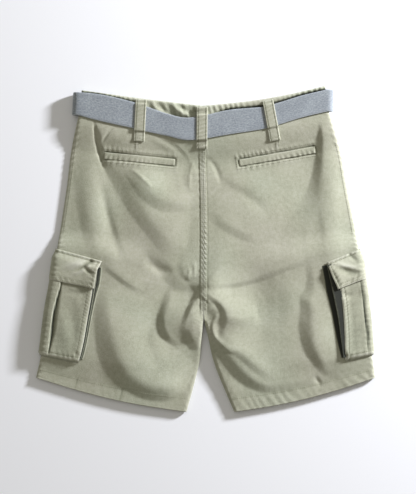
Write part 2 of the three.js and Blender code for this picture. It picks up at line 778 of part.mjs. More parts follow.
// A belt loop: a strip from its upper end, over the belt, down to the panel below the waistband.
function beltLoop(row, face) {
  const back = face === "back";
  const sign = back ? 1 : -1;
  const top = new THREE.Vector2(row.topX, row.topY);
  const along = new THREE.Vector2(row.lowX, row.lowY).sub(top);
  const length = along.length();
  along.divideScalar(length);
  const sideways = new THREE.Vector2(-along.y, along.x);
  const panelFace = (s) => {
    const point = top.clone().addScaledVector(along, s);
    const { v, distance } = placeOf(row.half, point.x, point.y);
    const { low, high } = heights(row.half, v, distance);
    return back ? high : low;
  };
  const beltCurve = curveOf(back ? BELT_BACK : BELT_FRONT, "x", "y");
  const beltY = beltCurve.getPoint(shareAtX(beltCurve, (row.topX + row.lowX) / 2)).y;
  const beltFace = back ? BELT_TOP : BELT_BOTTOM;
  const bandFace = back ? BAND_BACK_TOP : WAIST_LIFT;
  const over = Math.max(top.y - beltY - BELT_WIDTH / 2 - LOOP_SLACK, 1);
  const off = top.y - beltY + BELT_WIDTH / 2 + LOOP_SLACK;
  const profile = [
    { s: 0, z: bandFace + sign * GAP },
    { s: over / 2, z: bandFace + sign * GAP },
    { s: over, z: beltFace + sign * GAP },
    { s: off, z: beltFace + sign * GAP },
    { s: length - LOOP_FOOT, z: panelFace(length - LOOP_FOOT) + sign * 2 * SEATED },
    { s: length, z: panelFace(length) + sign * 2 * SEATED },
  ];
  const grid = (lift) =>
    profile.map(({ s, z }) =>
      [-0.5, 0.5].map((share) => {
        const at = top.clone().addScaledVector(along, s).addScaledVector(sideways, share * LOOP_WIDTH);
        return new THREE.Vector3(at.x, at.y, z + sign * lift);
      }),
    );
  return piece(row.name, wall(grid(LOOP_CLOTH), grid(0)));
}

// The closed zip lies inside the front, behind the centre seam.
function flyZip() {
  const stations = STATIONS.left.filter((v) => v >= FLY_START && v <= FLY_END);
  const grid = (lift) =>
    stations.map((v) =>
      steps(2, -ZIP_WIDTH / 2, ZIP_WIDTH / 2).map((leftOf) => {
        const half = leftOf < 0 ? "right" : "left";
        const sec = section(half, v);
        const { place, low } = heights(half, v, sec.width - Math.abs(leftOf), sec);
        return new THREE.Vector3(place.x, place.y, low + lift);
      }),
    );
  const base = CLOTH + GAP;
  return piece("fly_zip", wall(grid(base + ZIP_THICKNESS), grid(base)), "webbing");
}

// The button is sewn through the band's overlap and lies between the band and the belt.
function waistButton() {
  const profile = [
    [0, 0],
    [BUTTON_RADIUS - 0.5, 0],
    [BUTTON_RADIUS, 0.5],
    [BUTTON_RADIUS, BUTTON_THICKNESS - 0.3],
    [BUTTON_RADIUS - 0.4, BUTTON_THICKNESS],
    [BUTTON_RADIUS - 1.8, BUTTON_THICKNESS],
    [BUTTON_RADIUS - 2.4, BUTTON_THICKNESS - 0.4],
    [0, BUTTON_THICKNESS - 0.4],
  ];
  const points = profile.map(([radius, height]) => new THREE.Vector2(radius, height));
  const geometry = new THREE.LatheGeometry(points, 24);
  geometry.rotateX(-QUARTER);
  const sec = section("left", 0);
  const place = planPoint(sec, sec.width - BAND_OVERLAP / 2);
  geometry.translate(place.x, place.y + WAISTBAND_HEIGHT / 2, WAIST_LIFT - GAP);
  return piece("waist_button", geometry, "button");
}

const shorts = new THREE.Group();
for (const half of ["left", "right"]) {
  shorts.add(panel(half, "back", BACK_COLUMNS));
  shorts.add(panel(half, "front", FRONT_COLUMNS));
  shorts.add(backWelt(half));
  shorts.add(cargoPocket(half));
  shorts.add(cargoGusset(half));
  shorts.add(cargoFlap(half));
  shorts.add(waistbandFront(half));
}
shorts.add(waistbandBack());
shorts.add(belt());
shorts.add(buckle());
for (const row of BACK_LOOPS) shorts.add(beltLoop(row, "back"));
for (const row of FRONT_LOOPS) shorts.add(beltLoop(row, "front"));
shorts.add(flyZip());
shorts.add(waistButton());

// The origin is under the middle of the whole.
const bounds = new THREE.Box3().setFromObject(shorts);
const centre = bounds.getCenter(new THREE.Vector3());
shorts.position.set(-centre.x, -centre.y, -bounds.min.z);

export default shorts;
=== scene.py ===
"""Cargo shorts with a webbing belt, laid flat on their front so that the back shows.

Sizes in the tables are millimetres in plan: X across the shorts, Y towards the waist, Z up from
the table. Each half is a flattened tube. A place on a half is given by v, from 0 at the waist seam
to 1 at the hem, and by the distance in from the side edge.
"""

import math

import bmesh
import bpy
import numpy as np
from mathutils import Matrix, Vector
from mathutils.bvhtree import BVHTree


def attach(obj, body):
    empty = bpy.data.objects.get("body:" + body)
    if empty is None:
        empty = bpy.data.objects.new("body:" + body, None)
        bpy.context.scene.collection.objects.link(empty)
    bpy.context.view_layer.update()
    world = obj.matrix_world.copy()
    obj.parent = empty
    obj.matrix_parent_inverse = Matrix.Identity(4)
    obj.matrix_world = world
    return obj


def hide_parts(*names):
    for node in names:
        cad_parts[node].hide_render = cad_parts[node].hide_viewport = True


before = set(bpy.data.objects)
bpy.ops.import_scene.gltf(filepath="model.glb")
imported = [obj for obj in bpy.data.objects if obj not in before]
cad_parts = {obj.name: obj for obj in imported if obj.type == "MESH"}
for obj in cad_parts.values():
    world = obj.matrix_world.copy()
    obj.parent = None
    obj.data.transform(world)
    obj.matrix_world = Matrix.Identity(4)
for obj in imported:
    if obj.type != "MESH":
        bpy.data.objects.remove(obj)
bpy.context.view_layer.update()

bl_info = {
    "name": "Cargo Shorts",
    "version": (1, 0, 0),
    "blender": (4, 5, 0),
    "location": "3D View > Sidebar > Shorts",
    "description": "Builds washed twill cargo shorts with a webbing belt, laid flat",
    "category": "Add Mesh",
}

# The solids are centred over the origin by this much, in mm
CENTRED = (0.5, 0.0, 0.0)

# Sizes shared with the solids
CLOTH = 1.3
GAP = 0.3
HEM_HEIGHT = 20
EDGE_RADIUS = 5.5
EDGE_ARC = 8
LOFT = 4.8
HEM_LOFT = 1.4
LOWEST_RELIEF = -1.9
WAISTBAND_HEIGHT = 41
WAISTBAND_CLOTH = 2.4
WAIST_LIFT = 6
WAIST_HOLD = 0.03
WAIST_RAMP = 0.13
BAND_BACK_TOP = 13.8
BAND_MIDDLE = 9.9
BAND_OVERLAP = 32
BELT_THICKNESS = 2.2
BELT_BOTTOM = 1.6
BELT_TURN = 8
POCKET_PAD = 6.1
POCKET_LIFT = 4.4
POCKET_FRONT = 66
FLAP_CLOTH = 1.9
FRONT_SQUASH = 0.88
CROTCH_V = 0.625


def table(columns, *rows):
    """Rows as dictionaries, under the names in the first line."""
    return [dict(zip(columns.split(), row)) for row in rows]


SECTIONS = {
    "left": table(
        "side_x side_y inner_x inner_y sag",
        (-203, 212, -6, 187.5, 1),
        (-215, 158, -5.5, 134, 1),
        (-222, 102, -4, 78, 0),
        (-231, 42, -3.5, 14, 0),
        (-238, -5, -4, -50, 0),
        (-245, -56, -4, -110, 0),
        (-252, -101, -6.5, -142, 1),
        (-260, -154, -12, -188, 4),
        (-271.5, -205, -31, -260, 7),
    ),
    "right": table(
        "side_x side_y inner_x inner_y sag",
        (196, 219, -6, 187.5, 5),
        (215, 158, -5.5, 134, 2),
        (225, 102, -4, 78, 0),
        (236.5, 42, -3.5, 14, 0),
        (244, -5, -4, -50, 0),
        (252, -56, -3, -110, 0),
        (257.5, -101, 3.5, -142, 1),
        (262.5, -154, 15, -188, 4),
        (270.5, -205, 45, -260, 7),
    ),
}

# Soft fullness of the back
SWELLINGS = table(
    "x y across along lift",
    (-70, 45, 66, 78, 4.5),
    (85, 50, 88, 82, 5),
    (-100, -160, 54, 66, 3),
    (88, -150, 62, 58, 4),
    (-185, 70, 26, 95, 2.5),
    (200, 70, 24, 110, 4),
)

# Where the cloth swells up from a sharp foot and sinks again over the tail. The foot has points
# of x, y, height reached and how far it takes to rise; the high side is on the left of its way.
SHOULDERS = table(
    "name tail foot",
    ("left hip", 35, (
        (-179, 219, 0, 6), (-176, 203, 1.5, 6), (-173, 182, 2, 7), (-171, 158, 2.4, 9),
        (-166, 138, 2.8, 14), (-158, 118, 1.5, 18), (-150, 104, 0, 20))),
    ("left seat", 40, (
        (-166, 150, 0, 26), (-162, 130, 3.6, 34), (-152, 107, 6, 42), (-139, 83, 5.6, 38),
        (-125, 61, 4.6, 30), (-110, 40, 3.8, 25), (-94, 21, 3.4, 24), (-78, 2, 3, 24),
        (-59, -16, 0, 22))),
    ("left second", 30, (
        (-131, 123, 0, 18), (-117, 98, 3.4, 22), (-98, 75, 4.2, 24), (-74, 61, 4.4, 24),
        (-50, 58, 4, 22), (-29, 62, 3, 20), (-10, 74, 0, 18))),
    ("left side", 20, (
        (-210, 142, 0, 18), (-211, 118, 1, 18), (-210, 91, 1.6, 18), (-205, 59, 2, 18),
        (-198, 27, 2, 18), (-189, -2, 1.2, 18), (-176, -21, 0, 18))),
    ("left strip", 20, (
        (-178, 142, 0, 9), (-173, 118, 0.4, 9), (-165, 78, 0.7, 9), (-155, 43, 0.7, 9),
        (-142, 10, 0.4, 9), (-133, -10, 0, 9))),
    ("left drag", 25, (
        (-168, -29, 0, 9), (-157, -38, 1.6, 9), (-138, -53, 2.2, 9), (-118, -66, 1.6, 9),
        (-104, -74, 0, 9))),
    ("left knot", 34, (
        (-109, 14, 0, 18), (-94, -10, 1.6, 24), (-78, -32, 3, 26), (-62, -54, 3.4, 24),
        (-48, -67, 1.6, 20), (-32, -75, 0, 14))),
    ("left thigh", 90, (
        (-58, -56, 0, 14), (-66, -70, 2.2, 14), (-72, -86, 3.8, 13), (-77, -102, 4.6, 13),
        (-78, -118, 4.6, 13), (-74, -134, 4, 13), (-62, -149, 2.8, 12), (-48, -158, 1.4, 12),
        (-35, -166, 0, 10))),
    ("left inner thigh", 60, (
        (-54, -59, 0, 60), (-69, -82, 7, 60), (-75, -110, 12, 60), (-69, -139, 10, 50),
        (-48, -158, 0, 30))),
    ("left knob", 12, (
        (-45, -11, 0, 8), (-46, -27, 1.3, 10), (-42, -43, 1.5, 10), (-30, -51, 1.3, 8),
        (-19, -48, 0.8, 6), (-13, -37, 0, 6))),
    ("left crotch", 22, (
        (-6, -59, 0, 6), (-14, -70, 5.4, 6), (-26, -85, 5.6, 7), (-34, -101, 4.2, 8),
        (-40, -115, 2.4, 9), (-46, -130, 0, 9))),
    ("left inner", 16, (
        (-35, -122, 0, 14), (-37, -141, 4.2, 19), (-29, -157, 4.8, 20), (-16, -162, 3.4, 18),
        (-5, -160, 0, 16))),
    ("left leg", 80, (
        (-171, -59, 0, 16), (-174, -78, 3, 20), (-178, -106, 6, 28), (-178, -133, 8, 34),
        (-174, -162, 9.5, 40), (-165, -186, 10, 42), (-152, -205, 9.5, 38), (-138, -219, 9, 32),
        (-118, -230, 8, 28), (-96, -240, 7.5, 26), (-74, -243, 8, 26), (-53, -240, 8, 28),
        (-35, -227, 6, 28), (-22, -203, 3.5, 28), (-14, -181, 1.6, 26), (-10, -162, 0, 20))),
    ("right hip", 40, (
        (179, 222, 0, 5), (179, 203, 2.2, 6), (178, 181, 3.2, 8), (176, 158, 4, 11),
        (173, 138, 4.6, 14), (168, 118, 4.6, 18), (162, 99, 4, 24), (152, 78, 3.4, 28),
        (139, 58, 2.4, 30), (125, 37, 1.3, 30), (112, 14, 0, 28))),
    ("right side", 20, (
        (176, 70, 0, 8), (179, 50, 0.6, 8), (182, 27, 0.6, 8), (184, 5, 0, 8))),
    ("right small", 26, (
        (26, 110, 0, 10), (37, 99, 1, 12), (51, 91, 0.9, 12), (66, 83, 0.5, 10), (80, 70, 0, 10))),
    ("right short", 36, (
        (2, 48, 0, 14), (18, 35, 1.5, 15), (42, 21, 1.8, 15), (67, 11, 1.3, 14), (90, 8, 0, 14))),
    ("right crotch", 55, (
        (3, -64, 1, 8), (42, -62, 2.4, 9), (74, -56, 3, 9), (106, -45, 3, 10), (134, -34, 2.4, 10),
        (168, -22, 1, 10), (182, -18, 0, 10))),
    ("right branch", 30, (
        (74, -59, 0, 30), (90, -72, 2.4, 34), (96, -91, 2.8, 36), (93, -109, 2, 34),
        (82, -123, 0, 30))),
    ("right crescent", 24, (
        (-2, -77, 0.6, 8), (10, -85, 3, 8), (19, -94, 4, 9), (24, -107, 3.8, 9), (22, -122, 2.8, 9),
        (18, -136, 1.4, 9), (14, -149, 0, 9))),
    ("right inner", 60, (
        (8, -139, 0.6, 16), (13, -162, 3.8, 20), (26, -182, 5.2, 22), (43, -203, 5.6, 22),
        (64, -219, 5.6, 20), (83, -227, 4.8, 18), (102, -230, 3, 16), (131, -227, 1.8, 16),
        (158, -219, 1.2, 14), (179, -211, 0, 12))),
    ("right inner fold", 14, (
        (16, -142, 0, 8), (32, -162, 1.6, 9), (51, -174, 1.8, 10), (70, -190, 1.6, 10),
        (90, -206, 1, 12), (112, -218, 0, 12))),
    ("right pocket", 44, (
        (157, -21, 0, 8), (160, -40, 1.8, 12), (158, -61, 2.8, 14), (149, -78, 4.2, 20),
        (149, -98, 5.4, 24), (147, -122, 6, 25), (150, -146, 6, 25), (158, -166, 5.4, 22),
        (170, -182, 4.4, 18), (182, -197, 2, 14), (194, -205, 0, 10))),
)

# Narrow creases and ridges: each runs from a through b to c, left and right are its widths on
# either side of that way, and start and end are the lift left at its ends.
CREASES = table(
    "name ax ay bx by cx cy left right lift start end",
    ("left seat hollow", -90, -21, -70, -34, -54, -34, 8, 7, -2, 0.6, 0.3),
    ("left second ridge", -117, 126, -102, 114, -86, 98, 3, 3, 1.2, 0.4, 0.3),
    ("left side ridge", -182, 158, -174, 70, -163, -21, 12, 16, 1.3, 0.6, 0.6),
    ("left faint drop", -163, 98, -155, 50, -138, -11, 6, 6, -1.2, 0.4, 0.4),
    ("left knob", -29, -29, -27, -37, -29, -45, 4, 3, 0.9, 0.5, 0.5),
    ("left small knob", -19, -24, -18, -34, -19, -43, 3, 3, 0.9, 0.5, 0.5),
    ("left inner patch", -12, -138, -22, -146, -34, -150, 7, 7, -2.4, 0.7, 0.4),
    ("right small fold end", 54, 94, 74, 78, 96, 62, 9, 9, -0.8, 0.5, 0.2),
    ("right loop crease", 3, 144, 15, 130, 24, 104, 4, 4, -1, 0.4, 0.3),
    ("left upper ridge", -93, 179, -69, 166, -48, 154, 4, 4, 0.6, 0.4, 0.3),
    ("left upper hollow", -77, 181, -50, 163, -26, 141, 4, 4, -0.6, 0.4, 0.3),
    ("left upper drag", -54, 173, -29, 147, -16, 114, 3.4, 3.4, 0.5, 0.4, 0.3),
    ("right crotch ridge", 10, -90, 42, -106, 84, -104, 28, 14, 4.2, 0.8, 0),
    ("right inner ridge", 16, -107, 13, -136, 38, -162, 5, 3, 2, 0.5, 0.4),
    ("right hem dent", 174, -205, 179, -211, 182, -218, 3, 3, -1.5, 0.5, 0.5),
    ("left loop crease", -14, 146, -24, 126, -26, 94, 3, 3, 0.6, 0.4, 0.3),
    ("left loop hollow", -32, 130, -37, 114, -32, 94, 5, 4, -0.6, 0.4, 0.4),
    ("left hip crease", -178, 212, -174, 171, -163, 130, 2.2, 2.2, -3.5, 0.8, 0.2),
    ("left waist crease", -141, 195, -154, 186, -165, 170, 2, 2, -1.8, 0.4, 0.3),
)
FOLD_STEPS = 18
CLIMB_EVEN = 0.5

# Cargo pockets from the mouth down: where the pocket's edge, its bellows' ridge and the bellows'
# sewn foot lie in from the side, how far the edge stands up, where the pleat's edge is, how wide
# it gapes and how high it stands.
POCKETS = {
    "left": table(
        "v back ridge foot flare pleat gape crest",
        (0.525, 66, 71, 77, 0.6, 17, 0, 0.4),
        (0.585, 67, 71.5, 77.5, 1, 17, 1, 1),
        (0.62, 68, 71.2, 75, 1.4, 16.5, 2, 1.4),
        (0.68, 67.5, 70.8, 73, 1.4, 13.5, 7, 2.2),
        (0.75, 67, 70, 72, 1.2, 11.5, 11, 2.6),
        (0.83, 66, 68.6, 70.5, 1, 12.5, 8, 2.2),
        (0.88, 64.5, 67, 69, 0.6, 13, 3, 1.2),
        (0.908, 63, 65.2, 67, 0.3, 13, 0, 0.3),
    ),
    "right": table(
        "v back ridge foot flare pleat gape crest",
        (0.525, 47, 57, 64, 1, 7, 0, 0.4),
        (0.62, 42, 55, 64, 1.6, 7.5, 0.4, 0.6),
        (0.68, 41.5, 53, 61, 1.8, 6.5, 1.2, 0.9),
        (0.75, 42, 51, 58.5, 1.8, 7.5, 1.8, 1.1),
        (0.83, 43, 49, 55, 1.4, 6, 1.6, 1),
        (0.88, 45, 48.5, 52, 0.8, 7, 0.8, 0.6),
        (0.908, 46, 48, 50, 0.3, 7, 0, 0.3),
    ),
}

# Flaps: v of the top and lower edge at the side and at the back edge, how far round the back the
# top and the lower edge reach, how much of the height nips it in, and how far the edge stands up
FLAPS = {
    half: dict(zip(("top_side", "top_back", "low_side", "low_back", "top", "low", "nip", "flare"), row))
    for half, row in (
        ("left", (0.485, 0.5, 0.608, 0.605, 76, 70.5, 0.4, 1.6)),
        ("right", (0.487, 0.515, 0.603, 0.622, 56, 45.5, 1.2, 1.6)),
    )
}

# Back pocket welts by their corners: outer top, inner top, inner low, outer low
WELTS = {
    "left": ((-162.5, 154.5), (-49.5, 143.5), (-50, 133), (-162.5, 143.5)),
    "right": ((173.5, 164), (52.5, 142.5), (53.5, 132), (174.5, 153)),
}

# Gathers along the sewing: their pitch and reach in mm, how they lean, and where their waves start
GATHERS = {
    "leg": (10, 9, 0.7, 2.9),
    "side": (9, 7, 0.4, 5.1),
    "below welt": (8.2, 4.2, -0.35, 4.2),
    "dart": (5.2, 6, 0.3, 0.7),
    "waistband": (8.2, 14, 0.35, 0.3),
    "front waistband": (9, 9, 0.3, 1.7),
    "welt": (8, 5, 0.3, 1.9),
    "pocket edge": (6.2, 4, 0.5, 0.8),
    "pocket hem": (9, 5, 0.4, 3.1),
    "flap hem": (8.4, 4.5, 0.5, 2.4),
    "flap top": (7.6, 4, -0.4, 0.6),
    "flap edge": (7, 4, 0.3, 1.4),
}

# The belt's upper and lower edge over the back
BELT_BACK = table(
    "x top low",
    (-203, 249.5, 213),
    (-176, 247, 205.5),
    (-148, 242, 199),
    (-115, 233.5, 192),
    (-94, 226.5, 186.5),
    (-62, 215.5, 180),
    (-34, 209, 173.5),
    (-6, 212, 175),
    (38, 221.5, 182.5),
    (89, 226, 190.5),
    (118, 233.5, 198.5),
    (152, 244, 209),
    (194, 254, 219),
)
BELT_FRONT = table(
    "x top low",
    (-202, 251, 211),
    (-150, 239, 199),
    (-110, 230, 190),
    (-84, 227, 187),
    (-30, 227, 187),
    (40, 227, 187),
    (90, 230, 190),
    (145, 241, 201),
    (194, 256, 216),
)

LOOPS = {
    "loop_back_left": dict(half="left", top=(-103, 238), low=(-106.5, 171), back=True),
    "loop_back_centre": dict(half="left", top=(-6.2, 226), low=(-6.8, 159.5), back=True),
    "loop_back_right": dict(half="right", top=(98, 236.5), low=(110, 172), back=True),
    "loop_front_left": dict(half="left", top=(-118, 239), low=(-122, 176), back=False),
    "loop_front_right": dict(half="right", top=(104, 238), low=(112, 175), back=False),
}
LOOP_WIDTH = 17.5
LOOP_CLOTH = 1.4

# How deep a welt is sunk in its panel, and half its height
WELT_SEAT = 1.0
WELT_HALF = 5.3

# The widest back half that a pocket or flap is gridded for
WIDEST_BACK = 70

# Rows of sewing: how far they run from the seam, side, hem line and a loop's middle
SEAT_ROWS = (1.2, 4.0)
SIDE_ROW = 6.0
HEM_ROW = 1.6
LOOP_ROW = 5.8
STITCH_SHARE = 0.78

# Zip teeth and slider, in mm
TOOTH_PITCH = 1.5
TOOTH = (2.4, 0.8, 0.6)
SLIDER = (7.0, 9.0, 2.2)
ZIP_TAPE = 0.9
ZIP_RUN = (168.0, -6.0)

# A wave texture has a band every WAVE_PERIOD / Scale metres
WAVE_PERIOD = 0.314


# Plan of the shorts


def smooth(x, low, high):
    """From 0 at low to 1 at high, with a soft start and end."""
    t = np.clip((np.asarray(x, float) - low) / (high - low), 0, 1)
    return t * t * (3 - 2 * t)


def mix(a, b, t):
    return a + (b - a) * t


def spline(points, t):
    """A curve through the points, for t from 0 to 1."""
    p = np.asarray(points, float)
    at = np.clip(t, 0, 1) * (len(p) - 1)
    i = np.minimum(at.astype(int), len(p) - 2)
    f = (at - i)[:, None]
    a, b, c, d = (p[np.clip(i + k, 0, len(p) - 1)] for k in (-1, 0, 1, 2))
    leaving, arriving = (c - a) / 2, (d - b) / 2
    cubic = 2 * b - 2 * c + leaving + arriving
    square = 3 * c - 3 * b - 2 * leaving - arriving
    return cubic * f**3 + square * f**2 + leaving * f + b


def run_along(points):
    """Distance along a row of points, from its start."""
    return np.concatenate([[0], np.cumsum(np.linalg.norm(np.diff(points, axis=0), axis=1))])


def column(rows, name, at, by="v"):
    """One column of a table at places between its rows."""
    return np.interp(at, [row[by] for row in rows], [row[name] for row in rows])


class Half:
    """One leg and half of the seat, as a flattened tube."""

    def __init__(self, name):
        rows = SECTIONS[name]
        self.name = name
        self.left = name == "left"
        self.side = [(r["side_x"], r["side_y"]) for r in rows]
        gap = -GAP / 2 if self.left else GAP / 2
        self.inner = [(r["inner_x"] + gap, r["inner_y"]) for r in rows]
        self.sag = [r["sag"] for r in rows]
        steps = np.linspace(0, 1, 200)
        run = spline(self.side, steps)
        self.length = float(np.linalg.norm(np.diff(run, axis=0), axis=1).sum())

    def cut_area(self):
        """Flat area of one of the half's panels, in square mm."""
        v = np.linspace(0, 1, 100)
        return float(self.section(v)[2].mean() * self.length)

    def section(self, v):
        """Point on the side edge, direction inwards, width and sag at each v."""
        v = np.atleast_1d(np.asarray(v, float))
        side = spline(self.side, v)
        inward = spline(self.inner, v) - side
        width = np.linalg.norm(inward, axis=1)
        sag = np.interp(v, np.linspace(0, 1, len(self.sag)), self.sag)
        return side, inward / width[:, None], width, sag

    def plan(self, v, distance, section=None):
        """Points in plan at distances in from the side edge."""
        side, inward, width, sag = section or self.section(v)
        place = side + inward * np.asarray(distance)[:, None]
        place[:, 1] -= sag * np.sin(math.pi * np.clip(distance / width, 0, 1))
        return place

    def place_of(self, xy):
        """The v and the distance from the side of points in plan."""
        xy = np.asarray(xy, float).reshape(-1, 2)
        above, below = np.zeros(len(xy)), np.ones(len(xy))
        for _ in range(26):
            v = (above + below) / 2
            section = self.section(v)
            distance = (xy[:, 0] - section[0][:, 0]) / section[1][:, 0]
            over = self.plan(v, distance, section)[:, 1] > xy[:, 1]
            above, below = np.where(over, v, above), np.where(over, below, v)
        side, inward, _, _ = self.section(above)
        return above, (xy[:, 0] - side[:, 0]) / inward[:, 0]


HALVES = {name: Half(name) for name in SECTIONS}


def nearest_on(line, xy):
    """How far points are from a line, above zero on its left, and how far along it, in mm."""
    a, d = line[:-1], np.diff(line, axis=0)
    length = np.linalg.norm(d, axis=1)
    start = np.concatenate([[0], np.cumsum(length)[:-1]])
    rel = xy[:, None, :] - a[None]
    t = np.clip((rel * d).sum(-1) / length**2, 0, 1)
    off = rel - t[..., None] * d
    square = (off**2).sum(-1)
    k = square.argmin(1)
    i = np.arange(len(xy))
    turn = d[k, 0] * rel[i, k, 1] - d[k, 1] * rel[i, k, 0]
    away = np.sqrt(square[i, k]) * np.where(turn >= 0, 1, -1)
    return away, start[k] + t[i, k] * length[k], float(length.sum())


def fold_line(fold):
    """Points of the curve from a through b to c."""
    t = np.linspace(0, 1, FOLD_STEPS + 1)[:, None]
    a, b, c = (np.array((fold[k + "x"], fold[k + "y"]), float) for k in "abc")
    pull = 2 * b - (a + c) / 2
    return (1 - t) ** 2 * a + 2 * t * (1 - t) * pull + t**2 * c


def fold_lift(folds, xy):
    """What a table of folds adds to the height at points in plan."""
    lift = np.zeros(len(xy))
    for fold in folds:
        line = fold_line(fold)
        reach = 2.6 * max(fold["left"], fold["right"])
        low, high = line.min(0) - reach, line.max(0) + reach
        near = ((xy > low) & (xy < high)).all(1)
        if not near.any():
            continue
        away, along, whole = nearest_on(line, xy[near])
        share = along / whole
        ends = mix(fold["start"], fold["end"], share)
        strength = mix(ends, 1, np.sin(math.pi * share))
        width = np.where(away > 0, fold["left"], fold["right"])
        lift[near] += fold["lift"] * strength * np.exp(-((away / width) ** 2))
    return lift


def foot_frame(foot, xy):
    """How far points lie to the left of a foot and away from it, and its height and rise there."""
    a, d = foot[:-1, :2], np.diff(foot[:, :2], axis=0)
    length = np.linalg.norm(d, axis=1)
    d = d / length[:, None]
    rel = xy[:, None, :] - a[None]
    run = (rel * d).sum(-1)
    t = np.clip(run / length, 0, 1)
    side = d[:, 0] * rel[..., 1] - d[:, 1] * rel[..., 0]
    square = side**2 + (run - t * length) ** 2
    far = np.sqrt(square)
    nearest = far.min(1, keepdims=True)
    weight = np.exp(-(far - nearest) / (1.5 + 0.25 * nearest))
    weight /= weight.sum(1, keepdims=True)
    sign = side / np.maximum(far, 0.1)
    rows = foot[None, :-1, 2:] * (1 - t[..., None]) + foot[None, 1:, 2:] * t[..., None]
    lift, rise = np.moveaxis((rows * weight[..., None]).sum(1), 1, 0)
    near = nearest[:, 0]
    return (weight * sign).sum(1) * near, near, lift, rise


def climb(t):
    """From 0 to 1 with an even slope that only rounds off near the top."""
    u = np.clip((t - CLIMB_EVEN) / (1 - CLIMB_EVEN), 0, 1)
    top = (1 - CLIMB_EVEN) * (u - u**3 + u**4 / 2)
    return (np.clip(t, 0, CLIMB_EVEN) + top) / (CLIMB_EVEN + (1 - CLIMB_EVEN) / 2)


def shoulder_lift(xy):
    """What the shoulders add to the height at points in plan."""
    lift = np.zeros(len(xy))
    for row in SHOULDERS:
        foot = spline(row["foot"], np.linspace(0, 1, 5 * len(row["foot"])))
        reach = 30 + 2.2 * row["tail"]
        low, high = foot[:, :2].min(0) - reach, foot[:, :2].max(0) + reach
        near = ((xy > low) & (xy < high)).all(1)
        if not near.any():
            continue
        away, far, height, rise = foot_frame(foot, xy[near])
        sink = gauss(np.maximum(far - rise, 0), row["tail"])
        lift[near] += np.maximum(height, 0) * climb(away / rise) * sink
    return lift


def pucker(along, away, pitch, reach, lean=0.0, seed=0.0):
    """Uneven gathers along a line of sewing: between -1 and 1, fading away from the line."""
    phase = 2 * math.pi * (along + lean * away) / pitch
    phase = phase + 1.4 * np.sin(along / 19 + seed) + 0.8 * np.sin(along / 7.3 + 2.1 * seed)
    size = 0.62 + 0.38 * np.sin(along / 27 + 3.7 * seed)
    return size * np.sin(phase) * np.exp(-((away / reach) ** 2))


def gauss(x, width):
    """A soft bump, 1 at zero and nearly gone at twice the width."""
    return np.exp(-((x / width) ** 2))


def waist_share(v):
    """1 at the waist seam, falling to 0 where the belt's hold on the cloth ends."""
    return 1 - smooth(v, WAIST_HOLD, WAIST_RAMP)


def underside(v, distance):
    """How high the front lies off the table, over the belt's and the pockets' thickness."""
    waist = WAIST_LIFT * waist_share(v)
    beside = 1 - smooth(distance, POCKET_FRONT + 6, POCKET_FRONT + 120)
    below = smooth(v, 0.39, 0.485) * (1 - smooth(v, 0.885, 0.97))
    return np.maximum(waist, POCKET_PAD * below * beside)


def main_relief(xy):
    """What folds, creases and swellings add to the back's height, kept above the lowest relief."""
    relief = fold_lift(CREASES, xy) + shoulder_lift(xy)
    for s in SWELLINGS:
        across, along = (xy[:, 0] - s["x"]) / s["across"], (xy[:, 1] - s["y"]) / s["along"]
        relief += s["lift"] * np.exp(-(across**2) - along**2)
    above = relief - LOWEST_RELIEF
    return LOWEST_RELIEF + (above + np.sqrt(above * above + 1)) / 2


def seam_relief(half, v, distance, width):
    """Fine relief of the seat seam, hem and side, and how worn the cloth is there or how much dye it has
    kept.
    """
    run = v * half.length
    from_seam = width - distance
    seat = smooth(v, 0.05, 0.13) * (1 - smooth(v, 0.59, 0.63))
    strip = 1 - smooth(from_seam, 4.2, 5.4)
    ripple = pucker(run, from_seam if half.left else -from_seam, 6.4, 5.5, 0.9, 0.4)
    wide = pucker(run, from_seam, 13, 15, -0.6 if half.left else 0.6, 1.3) * (1 - strip)
    groove = gauss(from_seam - 5.8, 0.9)
    fine = seat * (0.6 * strip + 0.6 * ripple * strip + 0.45 * wide - 0.35 * groove)
    wear = seat * (0.3 * strip + 0.55 * ripple * strip - 0.4 * groove)

    up = (1 - v) * half.length
    hem = 1 - smooth(up, HEM_HEIGHT - 1.6, HEM_HEIGHT + 0.4)
    sewn = gauss(up - HEM_HEIGHT + 1, 1.1)
    lean = 0.55 if half.left else -0.55
    roping = pucker(distance, up - 9, 13.5, 15, lean, 0.9 if half.left else 2.2)
    roping = roping * (0.08 if half.left else 0.2)
    joints = gauss(distance - 64.5, 1.1) + gauss(distance - 137, 1.1) if half.left else 0.0
    fine = fine + 0.5 * hem + (hem + 0.3) * roping * (up < 42) - 0.3 * sewn
    fine, wear = fine - 0.4 * joints * hem, wear - 0.5 * joints * hem
    wear = wear + 0.5 * roping * hem + 0.25 * gauss(up, 2.2) - 0.3 * sewn

    inner_leg = smooth(v, CROTCH_V, CROTCH_V + 0.03)
    leg = pucker(run, from_seam, *GATHERS["leg"]) * inner_leg
    side = pucker(run, distance, *GATHERS["side"])
    fine = fine + 0.3 * leg + 0.5 * side
    wear = wear + 0.16 * leg + 0.3 * side + 0.16 * gauss(distance, 4)
    return fine, wear


